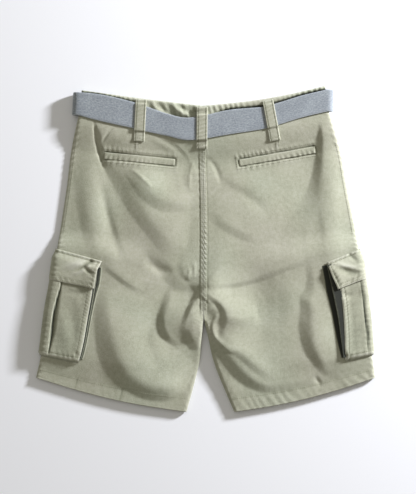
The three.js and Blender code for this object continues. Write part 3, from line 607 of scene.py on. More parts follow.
def welt_relief(name, xy):
    """The panel round a back pocket: a sunk slit above the welt and gathers along the stitching."""
    corners = np.array(WELTS[name], float)
    middle = corners.mean(0)
    along_axis = corners[1] - corners[0]
    length = np.linalg.norm(along_axis)
    along_axis = along_axis / length
    if along_axis[0] < 0:
        along_axis = -along_axis
    up_axis = np.array([-along_axis[1], along_axis[0]])
    along = (xy - middle) @ along_axis
    up = (xy - middle) @ up_axis
    from_end, from_edge = np.abs(along) - length / 2, np.abs(up) - WELT_HALF
    inside = (1 - smooth(from_end, 1, 9)) * (1 - smooth(np.abs(up), 9, 24))
    beside = 1 - smooth(from_end, -1, 1)
    sunk = (1 - smooth(from_end, 0.2, 2)) * (1 - smooth(from_edge, 0.2, 2))
    slit = gauss(up - WELT_HALF - 0.9, 1.0) * beside
    ends = gauss(from_end - 0.9, 0.9) * (1 - smooth(from_edge, 0, 1.5))
    foot = gauss(up + WELT_HALF + 0.9, 0.8) * beside
    upper = pucker(along, up - 11.5, 7.4, 4.6, 0.25, 1.1 if name == "left" else 2.6)
    lower = pucker(along, up + 10, *GATHERS["below welt"])
    doubled = 0.4 * (1 - smooth(np.abs(up), 12, 16)) * (1 - smooth(from_end, 3, 7))
    fine = doubled - WELT_SEAT * sunk - 1.3 * slit - 0.7 * ends - 0.5 * foot
    fine = fine + inside * (0.5 * upper + 0.4 * lower)
    # painted shade: the slit above the welt, the welt's ends and its foot are painted dark where shade falls
    # in them
    wear = inside * (0.36 * upper + 0.3 * lower) - 1.5 * slit - 1.0 * ends - 0.8 * foot
    return fine, wear


DARTS = table(
    "half x top low",
    ("left", -109.5, 171, 157.5),
    ("right", 114, 172.5, 160.5),
)


def dart_relief(name, xy):
    """The small darts above the back pockets."""
    fine, wear = np.zeros(len(xy)), np.zeros(len(xy))
    for dart in DARTS:
        if dart["half"] != name:
            continue
        within = smooth(xy[:, 1], dart["low"] - 3, dart["low"])
        within = within * (1 - smooth(xy[:, 1], dart["top"] + 8, dart["top"] + 12))
        off = xy[:, 0] - dart["x"]
        ripple = pucker(xy[:, 1], off, *GATHERS["dart"])
        fine += within * (0.5 * gauss(off, 2.6) + 0.3 * ripple)
        wear += within * (0.28 * gauss(off, 2.4) + 0.2 * ripple - 0.3 * gauss(np.abs(off) - 3.4, 0.9))
    return fine, wear


def heights(half, v, distance):
    """Everything at places of a half: plan, lowest and highest face, meeting level, and wear with painted
    shade.
    """
    v = np.atleast_1d(np.asarray(v, float))
    distance = np.broadcast_to(np.asarray(distance, float), v.shape)
    section = half.section(v)
    xy = half.plan(v, distance, section)
    low = underside(v, distance)
    loft = mix(LOFT, BAND_BACK_TOP - WAIST_LIFT, waist_share(v))
    relief = main_relief(xy)
    loft = loft + np.where(relief > 0, relief * smooth(v, 0.02, 0.08), relief * smooth(v, 0.01, 0.05))
    loft = loft + HEM_LOFT * smooth(v, 0.9, 0.95)
    fine, wear = seam_relief(half, v, distance, section[2])
    for more in (welt_relief(half.name, xy), dart_relief(half.name, xy)):
        fine, wear = fine + more[0], wear + more[1]
    return dict(xy=xy, low=low, high=low + loft + fine, middle=low + loft / 2, wear=wear)


def back_top(xy):
    """Height of the back's outer face at points in plan."""
    xy = np.asarray(xy, float).reshape(-1, 2)
    out = np.zeros(len(xy))
    seam = np.interp(xy[:, 1], [-142, -110, 14, 134, 187], [-1, -3.5, -3.5, -5.5, -6])
    for half in HALVES.values():
        mine = (xy[:, 0] < seam) if half.left else (xy[:, 0] >= seam)
        if mine.any():
            v, distance = half.place_of(xy[mine])
            out[mine] = heights(half, v, distance)["high"]
    return out


def on_side(half, v, around, off):
    """Points round a leg's side: around is above zero on the back, and off is out from the leg."""
    v, around, off = np.broadcast_arrays(v, around, off)
    shape = v.shape
    v, around, off = (np.ravel(a).astype(float) for a in (v, around, off))
    turn = np.minimum(np.abs(around) / EDGE_ARC, 1) * math.pi / 2
    flat = np.maximum(np.abs(around) - EDGE_ARC, 0)
    from_edge = EDGE_RADIUS * (1 - np.cos(turn)) + flat
    at = heights(half, v, from_edge)
    plan = half.plan(v, from_edge - off * np.cos(turn))
    up = mix(at["middle"], at["high"] + off, np.sin(turn))
    down = mix(at["middle"], at["low"] - off * FRONT_SQUASH, np.sin(turn))
    z = np.where(around < 0, down, up)
    return np.column_stack([plan, z]).reshape(*shape, 3)


# Meshes


def metres(points):
    """Points in mm as places in the frame."""
    return (np.asarray(points, float) + CENTRED) / 1000


def finish_piece(obj, nodes, material, smooth_shaded=True):
    """Puts a piece in the scene, on its body, in place of its solids."""
    bpy.context.scene.collection.objects.link(obj)
    obj.data.materials.append(material)
    if smooth_shaded:
        obj.data.shade_smooth()
    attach(obj, "root")
    if nodes:
        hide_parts(*nodes)
    return obj


def sheet_mesh(name, grid, uv, wear, facing=(0, 0, 1)):
    """A sheet from a grid of points in mm: made flat by create_grid and then bent into shape.

    The UV map holds the cloth's own sizes in metres. The attribute for wear and painted shade is above
    zero where the dye has worn off or a raised crease is painted light, and below it where the cloth has
    kept its colour or where shade is painted into slits, hollows, bellows and creases.
    """
    rows, columns = grid.shape[:2]
    bm = bmesh.new()
    bmesh.ops.create_grid(bm, x_segments=columns - 1, y_segments=rows - 1, size=0.5)
    layer = bm.verts.layers.float.new("wear")
    uv_layer = bm.loops.layers.uv.new("cloth")
    points = metres(grid)
    points[..., 2] = np.maximum(points[..., 2], 0)
    where = {}
    for vert in bm.verts:
        j = round((vert.co.x + 0.5) * (columns - 1))
        i = round((0.5 - vert.co.y) * (rows - 1))
        where[vert] = (i, j)
        vert.co = points[i, j]
        vert[layer] = float(wear[i, j])
    for face in bm.faces:
        for loop in face.loops:
            i, j = where[loop.vert]
            loop[uv_layer].uv = (uv[0][i, j] / 1000, uv[1][i, j] / 1000)
    bm.normal_update()
    total = sum((face.normal * face.calc_area() for face in bm.faces), Vector())
    if total.dot(Vector(facing)) < 0:
        bmesh.ops.reverse_faces(bm, faces=bm.faces)
    mesh = bpy.data.meshes.new(name)
    bm.to_mesh(mesh)
    bm.free()
    return bpy.data.objects.new(name, mesh)


def add_wall(obj, thickness):
    """Thickness goes inwards from the face that was modelled."""
    wall = obj.modifiers.new("wall", "SOLIDIFY")
    wall.thickness = thickness / 1000
    wall.offset = -1
    wall.use_rim = True


def declare_sheet(area=None):
    """Turns a piece's area from square mm into square metres, and keeps nothing."""
    area = area / 1e6 if area else None


# Materials


def linear(hex_colour):
    """An sRGB hex colour as linear red, green, blue and alpha."""
    value = hex_colour.lstrip("#")
    channels = [int(value[i : i + 2], 16) / 255 for i in (0, 2, 4)]
    return tuple(c / 12.92 if c <= 0.04045 else ((c + 0.055) / 1.055) ** 2.4 for c in channels) + (1.0,)


def place_colours(elements, colours):
    """Sets the places and hex colours of a colour ramp."""
    while len(elements) < len(colours):
        elements.new(0.5)
    for element, (position, colour) in zip(elements, colours):
        element.position = position
        element.color = linear(colour)


def node(tree, kind, settings=None, **links):
    """Adds a node, sets its properties and inputs, and links what is given as a socket."""
    made = tree.nodes.new(kind)
    for name, value in (settings or {}).items():
        if name == "colours":
            place_colours(made.color_ramp.elements, value)
        else:
            setattr(made, name, value)
    for name, value in links.items():
        key = int(name[1:]) if name[0] == "i" and name[1:].isdigit() else name.replace("_", " ")
        socket = made.inputs[key]
        if isinstance(value, bpy.types.NodeSocket):
            tree.links.new(value, socket)
        else:
            socket.default_value = value
    return made


def new_material(name):
    material = bpy.data.materials.new(name)
    material.use_nodes = True
    tree = material.node_tree
    tree.nodes.clear()
    return material, tree


def layered(tree, patterns, start=0.0):
    """The sum of patterns: each has a socket, the range that it comes in and the one it is given."""
    total = start
    for source, low, high, to_low, to_high in patterns:
        part = node(
            tree,
            "ShaderNodeMapRange",
            None,
            Value=source,
            From_Min=low,
            From_Max=high,
            To_Min=to_low,
            To_Max=to_high,
        )
        added = node(tree, "ShaderNodeMath", {"operation": "ADD"}, i0=total, i1=part.outputs[0])
        total = added.outputs[0]
    return total


def washed_twill(name, base, worn, kept, painted_shade):
    """Garment-washed cotton twill: matt, with fine diagonal ribs, and uneven in colour.

    The wash takes dye off raised edges and seams and leaves it in the folds, so it looks chalky
    on the ridges and darker in the gathers. The darkest colour is no dye but painted shade, near
    black, for the slits, hollows and bellows where shade falls.
    """
    material, tree = new_material(name)
    uv = node(tree, "ShaderNodeUVMap", {"uv_map": "cloth"}).outputs[0]
    wear = node(tree, "ShaderNodeAttribute", {"attribute_name": "wear"}).outputs["Fac"]

    # clouds of uneven dye 40 mm across, blotches of 6 mm, slubs of 1.5 mm and, 120 mm across,
    # patches where the dye is a little warmer
    noises = ((25.0, 3.0, 0.55), (170.0, 4.0, 0.6), (700.0, 2.0, 0.5), (8.0, 1.0, 0.5))
    clouds, blotches, slubs, patches = (
        node(
            tree, "ShaderNodeTexNoise", None, Vector=uv, Scale=scale, Detail=detail, Roughness=rough
        ).outputs[0]
        for scale, detail, rough in noises
    )

    # ribs 0.9 mm apart at 63 degrees; real twill's are nearer 0.6 mm, too fine to show here
    turned = node(tree, "ShaderNodeMapping", None, Vector=uv, Rotation=(0, 0, math.radians(63)))
    ribs = node(
        tree,
        "ShaderNodeTexWave",
        {"wave_type": "BANDS", "bands_direction": "X"},
        Vector=turned.outputs[0],
        Scale=WAVE_PERIOD / 0.0009,
        Distortion=1.2,
        Detail=1.0,
        Detail_Scale=2.0,
    ).outputs["Fac"]

    # half of the attribute for wear and painted shade
    half_wear_and_shade = node(tree, "ShaderNodeMath", {"operation": "MULTIPLY"}, i0=wear, i1=0.5).outputs[0]
    uneven = [(source, 0.3, 0.7, -0.08, 0.08) for source in (clouds, blotches, slubs)]
    tone = layered(tree, uneven + [(ribs, 0.0, 1.0, -0.05, 0.05)], start=half_wear_and_shade)
    level = layered(tree, [(tone, -1.0, 0.6, 0.0, 1.0)])
    # the first stop is painted shade, near black, for slits, hollows and bellows; the others are the dye,
    # from kept to worn
    dyes_and_shade = [(0.0, painted_shade), (0.3, kept), (0.625, base), (1.0, worn)]
    dyed = node(tree, "ShaderNodeValToRGB", {"colours": dyes_and_shade}, i0=level).outputs["Color"]
    hue = layered(tree, [(patches, 0.35, 0.65, 0.478, 0.506)])
    colour = node(tree, "ShaderNodeHueSaturation", None, Color=dyed, Hue=hue, Saturation=1.05).outputs[0]

    height = layered(
        tree, [(ribs, 0.0, 1.0, 0.0, 0.6), (slubs, 0.2, 0.8, 0.0, 0.7), (blotches, 0.2, 0.8, 0.0, 1.2)]
    )
    bump = node(tree, "ShaderNodeBump", None, Height=height, Strength=0.5, Distance=0.00035)
    shader = node(
        tree,
        "ShaderNodeBsdfPrincipled",
        None,
        Base_Color=colour,
        Roughness=0.92,
        IOR=1.45,
        Sheen_Weight=0.18,
        Sheen_Roughness=0.6,
        Normal=bump.outputs[0],
        Specular_IOR_Level=0.22,
    )
    node(tree, "ShaderNodeOutputMaterial", None, Surface=shader.outputs[0])
    return material


def woven_webbing(name, base, light, dark):
    """Cotton belt webbing of mixed light and dark yarns, which gives it a heathered, pebbly face."""
    material, tree = new_material(name)
    uv = node(tree, "ShaderNodeUVMap", {"uv_map": "cloth"}).outputs[0]
    wear = node(tree, "ShaderNodeAttribute", {"attribute_name": "wear"}).outputs["Fac"]
    stretched = node(tree, "ShaderNodeMapping", None, Vector=uv, Scale=(0.55, 1.0, 1.0))
    heather = node(
        tree, "ShaderNodeTexNoise", None, Vector=stretched.outputs[0], Scale=520.0, Detail=3.0, Roughness=0.7
    ).outputs[0]
    clouds = node(
        tree, "ShaderNodeTexNoise", None, Vector=uv, Scale=40.0, Detail=2.0, Roughness=0.5
    ).outputs[0]

    # two sets of yarns, 1.3 mm apart along the belt and 1.0 mm across it
    weft, warp = (
        node(
            tree,
            "ShaderNodeTexWave",
            {"wave_type": "BANDS", "bands_direction": direction},
            Vector=uv,
            Scale=WAVE_PERIOD / pitch,
            Distortion=0.8,
            Detail=1.0,
            Detail_Scale=1.5,
        ).outputs["Fac"]
        for direction, pitch in (("X", 0.0013), ("Y", 0.0010))
    )
    weave = node(tree, "ShaderNodeMath", {"operation": "MULTIPLY"}, i0=weft, i1=warp).outputs[0]

    half_wear_and_shade = node(tree, "ShaderNodeMath", {"operation": "MULTIPLY"}, i0=wear, i1=0.5).outputs[0]
    patterns = [(heather, 0.3, 0.7, 0.1, 0.9), (weave, 0.0, 1.0, -0.1, 0.18), (clouds, 0.3, 0.7, -0.1, 0.1)]
    tone = layered(tree, patterns, start=half_wear_and_shade)
    yarns = [(0.0, dark), (0.5, base), (1.0, light)]
    colour = node(tree, "ShaderNodeValToRGB", {"colours": yarns}, i0=tone).outputs["Color"]
    height = node(tree, "ShaderNodeMath", {"operation": "ADD"}, i0=weave, i1=heather).outputs[0]
    bump = node(tree, "ShaderNodeBump", None, Height=height, Strength=0.6, Distance=0.0005)
    shader = node(
        tree,
        "ShaderNodeBsdfPrincipled",
        None,
        Base_Color=colour,
        Roughness=0.85,
        IOR=1.46,
        Sheen_Weight=0.15,
        Sheen_Roughness=0.5,
        Normal=bump.outputs[0],
        Specular_IOR_Level=0.25,
    )
    node(tree, "ShaderNodeOutputMaterial", None, Surface=shader.outputs[0])
    return material


def spun_thread(name, colour):
    """Polyester core sewing thread: a soft satin line, a little shinier than the cloth."""
    material, tree = new_material(name)
    place = node(tree, "ShaderNodeTexCoord").outputs["Object"]
    twist = node(tree, "ShaderNodeTexNoise", None, Vector=place, Scale=1500.0, Detail=2.0)
    strands = [(0.3, colour[0]), (0.7, colour[1])]
    tint = node(tree, "ShaderNodeValToRGB", {"colours": strands}, i0=twist.outputs[0]).outputs["Color"]
    bump = node(tree, "ShaderNodeBump", None, Height=twist.outputs[0], Strength=0.4, Distance=0.0001)
    shader = node(
        tree,
        "ShaderNodeBsdfPrincipled",
        None,
        Base_Color=tint,
        Roughness=0.6,
        IOR=1.5,
        Normal=bump.outputs[0],
    )
    node(tree, "ShaderNodeOutputMaterial", None, Surface=shader.outputs[0])
    return material


def brushed_metal(name, colour):
    """Nickel-plated pressed steel with a brushed face: a grey metal with fine lines along it."""
    material, tree = new_material(name)
    place = node(tree, "ShaderNodeTexCoord").outputs["Object"]
    drawn = node(tree, "ShaderNodeMapping", None, Vector=place, Scale=(0.05, 1.0, 1.0))
    lines = node(tree, "ShaderNodeTexNoise", None, Vector=drawn.outputs[0], Scale=2500.0, Detail=2.0)
    rough = node(tree, "ShaderNodeMapRange", None, Value=lines.outputs[0], To_Min=0.28, To_Max=0.48)
    bump = node(tree, "ShaderNodeBump", None, Height=lines.outputs[0], Strength=0.2, Distance=0.00005)
    shader = node(
        tree,
        "ShaderNodeBsdfPrincipled",
        None,
        Base_Color=linear(colour),
        Metallic=1.0,
        Roughness=rough.outputs[0],
        Normal=bump.outputs[0],
    )
    node(tree, "ShaderNodeOutputMaterial", None, Surface=shader.outputs[0])
    return material


def moulded_resin(name, light, dark):
    """Cast polyester button: streaked like horn under a hard polish."""
    material, tree = new_material(name)
    place = node(tree, "ShaderNodeTexCoord").outputs["Object"]
    pulled = node(tree, "ShaderNodeMapping", None, Vector=place, Scale=(1.0, 0.3, 1.0))
    streaks = node(tree, "ShaderNodeTexNoise", None, Vector=pulled.outputs[0], Scale=350.0, Detail=3.0)
    horn = [(0.35, dark), (0.65, light)]
    colour = node(tree, "ShaderNodeValToRGB", {"colours": horn}, i0=streaks.outputs[0]).outputs["Color"]
    shader = node(
        tree,
        "ShaderNodeBsdfPrincipled",
        None,
        Base_Color=colour,
        Roughness=0.25,
        IOR=1.56,
        Coat_Weight=0.3,
        Coat_Roughness=0.1,
    )
    node(tree, "ShaderNodeOutputMaterial", None, Surface=shader.outputs[0])
    return material


def painted_board(name, colour):
    """Matt white painted board under the shorts, with a faint roller texture."""
    material, tree = new_material(name)
    place = node(tree, "ShaderNodeTexCoord").outputs["Object"]
    stipple = node(tree, "ShaderNodeTexNoise", None, Vector=place, Scale=900.0, Detail=2.0)
    bump = node(tree, "ShaderNodeBump", None, Height=stipple.outputs[0], Strength=0.1, Distance=0.0001)
    shader = node(
        tree,
        "ShaderNodeBsdfPrincipled",
        None,
        Base_Color=linear(colour),
        Roughness=0.9,
        Normal=bump.outputs[0],
    )
    node(tree, "ShaderNodeOutputMaterial", None, Surface=shader.outputs[0])
    return material


MATERIALS = {}


def make_materials():
    look = bpy.context.scene.shorts_look
    MATERIALS["twill"] = washed_twill(
        "garment_washed_twill", look.twill, look.twill_worn, look.twill_kept, look.twill_painted_shade
    )
    MATERIALS["webbing"] = woven_webbing(
        "woven_cotton_webbing", look.webbing, look.webbing_light, look.webbing_dark
    )
    MATERIALS["thread"] = spun_thread("spun_thread", (look.thread, look.thread_dark))
    MATERIALS["metal"] = brushed_metal("brushed_nickel_plate", look.buckle)
    MATERIALS["button"] = moulded_resin("cast_resin", look.button, look.button_dark)
    MATERIALS["zip"] = woven_webbing("woven_zip_tape", look.zip_tape, look.zip_tape, look.twill_kept)


# Sizes and colours that a user may change


class ShortsLook(bpy.types.PropertyGroup):
    """Colours of the shorts, as sRGB hex values"""

    twill: bpy.props.StringProperty(
        name="Twill", description="Main colour of the washed twill", default="#a8a993", maxlen=7
    )
    twill_worn: bpy.props.StringProperty(
        name="Twill worn", description="Twill where the dye has worn off", default="#cfcfbf", maxlen=7
    )
    twill_kept: bpy.props.StringProperty(
        name="Twill kept", description="Twill where it has kept its dye", default="#686b58", maxlen=7
    )
    # painted shade: a near-black colour painted where shade falls in slits, hollows and bellows, not a dye
    # of the cloth
    twill_painted_shade: bpy.props.StringProperty(
        name="Twill unfaded", description="Twill deep inside folds and seams", default="#2c2e26", maxlen=7
    )
    webbing: bpy.props.StringProperty(
        name="Webbing", description="Main colour of the belt", default="#959b9d", maxlen=7
    )
    webbing_light: bpy.props.StringProperty(
        name="Webbing light yarn", description="Light yarns of the belt", default="#b2b8ba", maxlen=7
    )
    webbing_dark: bpy.props.StringProperty(
        name="Webbing dark yarn", description="Dark yarns of the belt", default="#747980", maxlen=7
    )
    thread: bpy.props.StringProperty(
        name="Thread", description="Sewing thread", default="#93937c", maxlen=7
    )
    thread_dark: bpy.props.StringProperty(
        name="Thread dark", description="Twist of the sewing thread", default="#6c6c57", maxlen=7
    )
    buckle: bpy.props.StringProperty(
        name="Buckle", description="Plating of the buckle", default="#b9b7b0", maxlen=7
    )
    button: bpy.props.StringProperty(
        name="Button", description="Light streaks of the button", default="#9c957a", maxlen=7
    )
    button_dark: bpy.props.StringProperty(
        name="Button dark", description="Dark streaks of the button", default="#5d573f", maxlen=7
    )
    zip_tape: bpy.props.StringProperty(
        name="Zip tape", description="Tape of the zip", default="#8f917c", maxlen=7
    )
    floor: bpy.props.StringProperty(
        name="Floor", description="Board that the shorts lie on", default="#f4f4f3", maxlen=7
    )


class ShortsSizes(bpy.types.PropertyGroup):
    """Sizes that set how fine the cloth and its sewing are, and the camera"""

    row_step: bpy.props.FloatProperty(
        name="Row step", description="Mesh step down a panel", default=0.0018, min=0.001, unit="LENGTH"
    )
    column_step: bpy.props.FloatProperty(
        name="Column step", description="Mesh step across a panel", default=0.0024, min=0.001, unit="LENGTH"
    )
    stitch_pitch: bpy.props.FloatProperty(
        name="Stitch pitch",
        description="From one stitch to the next",
        default=0.0034,
        min=0.002,
        unit="LENGTH",
    )
    stitch_width: bpy.props.FloatProperty(
        name="Stitch width",
        description="Thickness of the thread",
        default=0.0007,
        min=0.0003,
        unit="LENGTH",
    )
    camera_lens: bpy.props.FloatProperty(
        name="Lens", description="Focal length of the camera", default=100.0, min=20.0, unit="CAMERA"
    )
    frame_height: bpy.props.FloatProperty(
        name="Frame height", description="Height of the picture on the table", default=0.7904, unit="LENGTH"
    )


# Cloth panels


def stops(length, step):
    """Even places along a length, about a step apart."""
    return np.linspace(0, length, max(2, round(length / step) + 1))


def panel_grid(half, face, row_step, column_step, seam_step):
    """Points of a panel's outer face, round its folded edges, with its UV sizes and its wear and painted
    shade.
    """
    v = stops(half.length, row_step) / half.length
    arcs = np.linspace(0, math.pi / 2, 6)[:-1]
    width_typical = 235.0
    shares = np.concatenate(
        [
            np.linspace(0, 0.9, max(2, round(0.9 * width_typical / column_step))),
            np.linspace(0.9, 1, max(2, round(0.1 * width_typical / seam_step)))[1:],
        ]
    )
    columns = [("side", t) for t in arcs]
    columns += [("flat", s) for s in shares]
    columns += [("inner", t) for t in arcs[::-1]]
    side, inward, width, sag = half.section(v)
    fold_in = smooth(v, CROTCH_V, CROTCH_V + 0.04)
    grid = np.zeros((len(v), len(columns), 3))
    across = np.zeros((len(v), len(columns)))
    wear = np.zeros((len(v), len(columns)))
    for j, (edge, value) in enumerate(columns):
        if edge == "flat":
            distance = mix(EDGE_RADIUS, width - EDGE_RADIUS, value)
            rise = np.ones(len(v))
        else:
            from_edge = EDGE_RADIUS * (1 - math.cos(value))
            fold = fold_in if edge == "inner" else 1.0
            distance = width - from_edge if edge == "inner" else np.full(len(v), from_edge)
            rise = 1 - fold * (1 - math.sin(value)) + np.zeros(len(v))
        at = heights(half, v, distance)
        seam = (1 - rise) * GAP / 2
        if face == "back":
            z = mix(at["middle"], at["high"], rise) + seam
        else:
            z = mix(at["middle"], at["low"], rise) - seam
        grid[:, j, :2] = at["xy"]
        grid[:, j, 2] = z
        across[:, j] = distance
        wear[:, j] = at["wear"]
    along = np.repeat((v * half.length)[:, None], len(columns), 1)
    return grid, (across, along), wear


class SHORTS_OT_back_panels(bpy.types.Operator):
    """Back panels with their folds, hems, seat seam and darts"""

    bl_idname = "shorts.back_panels"
    bl_label = "Back panels"

    def execute(self, context):
        sizes = context.scene.shorts_sizes
        for half in HALVES.values():
            row_step, column_step = sizes.row_step * 1000, sizes.column_step * 1000
            grid, uv, wear = panel_grid(half, "back", row_step, column_step, 1.2)
            obj = sheet_mesh("back_panel_" + half.name, grid, uv, wear)
            add_wall(obj, CLOTH)
            finish_piece(obj, ["back_" + half.name], MATERIALS["twill"])
            declare_sheet(area=half.cut_area())
        return {"FINISHED"}


class SHORTS_OT_front_panels(bpy.types.Operator):
    """Front panels, which lie flat on the table"""

    bl_idname = "shorts.front_panels"
    bl_label = "Front panels"

    def execute(self, context):
        for half in HALVES.values():
            grid, uv, wear = panel_grid(half, "front", 4.5, 4.8, 3.0)
            obj = sheet_mesh("front_panel_" + half.name, grid, uv, wear, facing=(0, 0, -1))
            add_wall(obj, CLOTH)
            finish_piece(obj, ["front_" + half.name], MATERIALS["twill"])
            declare_sheet(area=half.cut_area())
        return {"FINISHED"}


# Waistband and belt


def band_point(half, up, share, turn, flat_z, middle_z, radius):
    """A point of the waistband, up above the waist seam, and its distance from the side edge."""
    section = half.section(np.zeros(1))
    width = section[2][0]
    distance = mix(EDGE_RADIUS, width, share) - radius * math.cos(turn)
    place = half.plan(np.zeros(1), np.array([distance]))[0]
    upright = 1 if half.left else -1
    x = place[0] - upright * section[1][0, 1] * up * (1 - share)
    return np.array([x, place[1] + up, mix(middle_z, flat_z, math.sin(turn))]), distance


def band_row(half, face, up, shares):
    """One row of the band's outer face, from the side's fold to the centre."""
    back = face == "back"
    flat_z = BAND_BACK_TOP if back else WAIST_LIFT
    middle_z = BAND_MIDDLE + (GAP if back else -GAP) / 2
    arcs = np.linspace(0, math.pi / 2, 6)[:-1]
    row = [band_point(half, up, 0.0, t, flat_z, middle_z, EDGE_RADIUS) for t in arcs]
    row += [band_point(half, up, s, math.pi / 2, flat_z, middle_z, 0.0) for s in shares]
    return row


BAND_FOLDS = table(
    "ax ay bx by cx cy left right lift start end",
    (-92, 232, -84, 222, -70, 214, 3.5, 5, -2.2, 0.6, 1),
    (-76, 232, -66, 220, -52, 212, 4, 5, -2.6, 0.7, 1),
    (-60, 230, -48, 216, -34, 210, 3.5, 6, -2.4, 0.4, 1),
    (-44, 230, -34, 222, -22, 214, 4, 5, -2.8, 0.6, 1),
    (-28, 230, -22, 222, -12, 216, 4, 4, -2.2, 0.6, 1),
    (-84, 228, -74, 219, -60, 212, 4, 4, 1.4, 0.6, 0.6),
    (-52, 228, -42, 220, -28, 212, 4, 4, 1.6, 0.6, 0.6),
    (-66, 208, -40, 206, -16, 212, 4, 7, -2.5, 0.4, 0.8),
)


def band_fine(points):
    """Gathers of the band, the pinch along the belt's upper edge on the right, and painted shade in the
    pinches and along the band's folds.
    """
    xy = points[:, :2]
    top = np.interp(xy[:, 0], [r["x"] for r in BELT_BACK], [r["top"] for r in BELT_BACK])
    above = xy[:, 1] - top
    ripple = pucker(xy[:, 0], above - 6, *GATHERS["waistband"])
    pinch_share = smooth(xy[:, 0], 5, 40)
    pinch = gauss(above - 1.2, 1.6) * pinch_share
    left_pinch = gauss(above - 0.8, 1.2) * (1 - smooth(xy[:, 0], -110, -90))
    corner = gauss(xy[:, 0] + 20, 7) * gauss(above - 1.5, 3.5)
    fine = 0.7 * ripple - 3.0 * pinch - 1.4 * left_pinch + fold_lift(BAND_FOLDS, xy) - 2 * corner
    # painted shade: the pinch along the belt's upper edge, the left pinch and the dip near the middle are
    # painted dark, and the band's folds darker in their troughs and lighter on their ridges
    wear = 0.5 * ripple - 3.2 * pinch - 2.8 * left_pinch - 2.6 * corner
    wear = wear + 0.12 * fold_lift(BAND_FOLDS, xy)
    return fine, wear


class SHORTS_OT_waistband(bpy.types.Operator):
    """Waistband: one piece over the back and two halves over the front, which overlap"""

    bl_idname = "shorts.waistband"
    bl_label = "Waistband"

    def back_band(self):
        left, right = HALVES["left"], HALVES["right"]
        shares = np.linspace(0, 1, 90)
        ups = np.linspace(GAP, WAISTBAND_HEIGHT, 22)
        rows, across = [], []
        for up in ups:
            a = band_row(left, "back", up, shares)
            b = band_row(right, "back", up, shares)[::-1]
            row = [p for p, _ in a[:-1]] + [(a[-1][0] + b[0][0]) / 2] + [p for p, _ in b[1:]]
            rows.append(row)
        grid = np.array(rows)
        flat = grid.reshape(-1, 3)
        fine, wear = band_fine(flat)
        edge_fade = np.ones(grid.shape[:2])
        edge_fade[:, :6] = np.linspace(0, 1, 6)
        edge_fade[:, -6:] = np.linspace(1, 0, 6)
        rolled = smooth(ups, WAISTBAND_HEIGHT - 3.5, WAISTBAND_HEIGHT)[:, None] ** 2
        grid[..., 2] += fine.reshape(grid.shape[:2]) * edge_fade - 1.6 * rolled * edge_fade
        wear = wear.reshape(grid.shape[:2]) + 0.3 * smooth(ups, 36, 41)[:, None]
        run = run_along(grid[10])
        across = np.repeat(run[None], len(ups), 0)
        along = np.repeat(-ups[:, None], grid.shape[1], 1)
        obj = sheet_mesh("waistband_back_cloth", grid[::-1], (across[::-1], along[::-1]), wear[::-1])
        add_wall(obj, WAISTBAND_CLOTH)
        finish_piece(obj, ["waistband_back"], MATERIALS["twill"])
        declare_sheet()

    def front_band(self, half):
        shares = np.linspace(0, 1, 40)[:-1]
        ups = np.linspace(GAP, WAISTBAND_HEIGHT, 8)
        rows = []
        for up in ups:
            row = [p for p, _ in band_row(half, "front", up, shares)]

            def near(side, reach, rise):
                width = side.section(np.zeros(1))[2][0]
                share = 1 - reach / (width - EDGE_RADIUS)
                p, _ = band_point(side, up, share, math.pi / 2, WAIST_LIFT, 0, 0.0)
                return p + (0, 0, rise)

            if half.left:
                row.append(near(half, GAP, 0))
            else:
                over = WAISTBAND_CLOTH + GAP
                row = [p for p in row if p[0] > 8]
                row = row[-34:]
                row += [near(half, 10, 0), near(half, 6, 0.5 * over), near(half, 1, over)]
                row += [near(HALVES["left"], reach, over) for reach in np.linspace(4, BAND_OVERLAP, 8)]
            rows.append(row)
        count = min(len(row) for row in rows)
        grid = np.array([row[-count:] for row in rows])
        run = run_along(grid[3])
        across = np.repeat(run[None], len(ups), 0)
        along = np.repeat(-ups[:, None], grid.shape[1], 1)
        wear = 0.2 * pucker(across, along + 38, *GATHERS["front waistband"])
        name = f"waistband_front_{half.name}_cloth"
        obj = sheet_mesh(name, grid, (across, along), wear, facing=(0, 0, -1))
        add_wall(obj, WAISTBAND_CLOTH)
        finish_piece(obj, ["waistband_front_" + half.name], MATERIALS["twill"])
        declare_sheet()

    def execute(self, context):
        self.back_band()
        for half in HALVES.values():
            self.front_band(half)
        return {"FINISHED"}


BELT_LOW = BELT_BOTTOM + BELT_THICKNESS / 2
BELT_HIGH = BAND_BACK_TOP + GAP + BELT_THICKNESS / 2
BUCKLE_X = -58


def belt_edges():
    """The belt's middle surface as rows from its upper to its lower edge, right round."""

    def over(rows, xs, z):
        keys = [r["x"] for r in rows]
        order = np.linspace(0, 1, len(keys))
        t = np.interp(xs, keys, order)
        curve = spline([(r["x"], r["top"], r["low"]) for r in rows], t)
        return np.column_stack([curve[:, 0], curve[:, 1], curve[:, 0], curve[:, 2], np.full(len(xs), z)])

    middle = (BELT_LOW + BELT_HIGH) / 2
    rise = BELT_HIGH - middle

    def turned(x_top, x_low, top, low, outward):
        angles = np.linspace(-math.pi / 2, math.pi / 2, 13)[1:-1]
        out = outward * BELT_TURN * np.cos(angles)
        z = middle + rise * np.sin(angles)
        return np.column_stack([x_top + out, np.full(11, top), x_low + out, np.full(11, low), z])

    right, left = BELT_BACK[-1], BELT_BACK[0]
    return np.concatenate(
        [
            over(BELT_FRONT, np.linspace(BUCKLE_X + GAP, 193, 60), BELT_LOW),
            turned(194, 193.4, right["top"], right["low"], 1),
            over(BELT_BACK, np.linspace(193, -201, 190), BELT_HIGH),
            turned(-202.5, -204.5, left["top"], left["low"], -1)[::-1],
            over(BELT_FRONT, np.linspace(-201, BUCKLE_X - GAP, 40), BELT_LOW),
        ]
    )


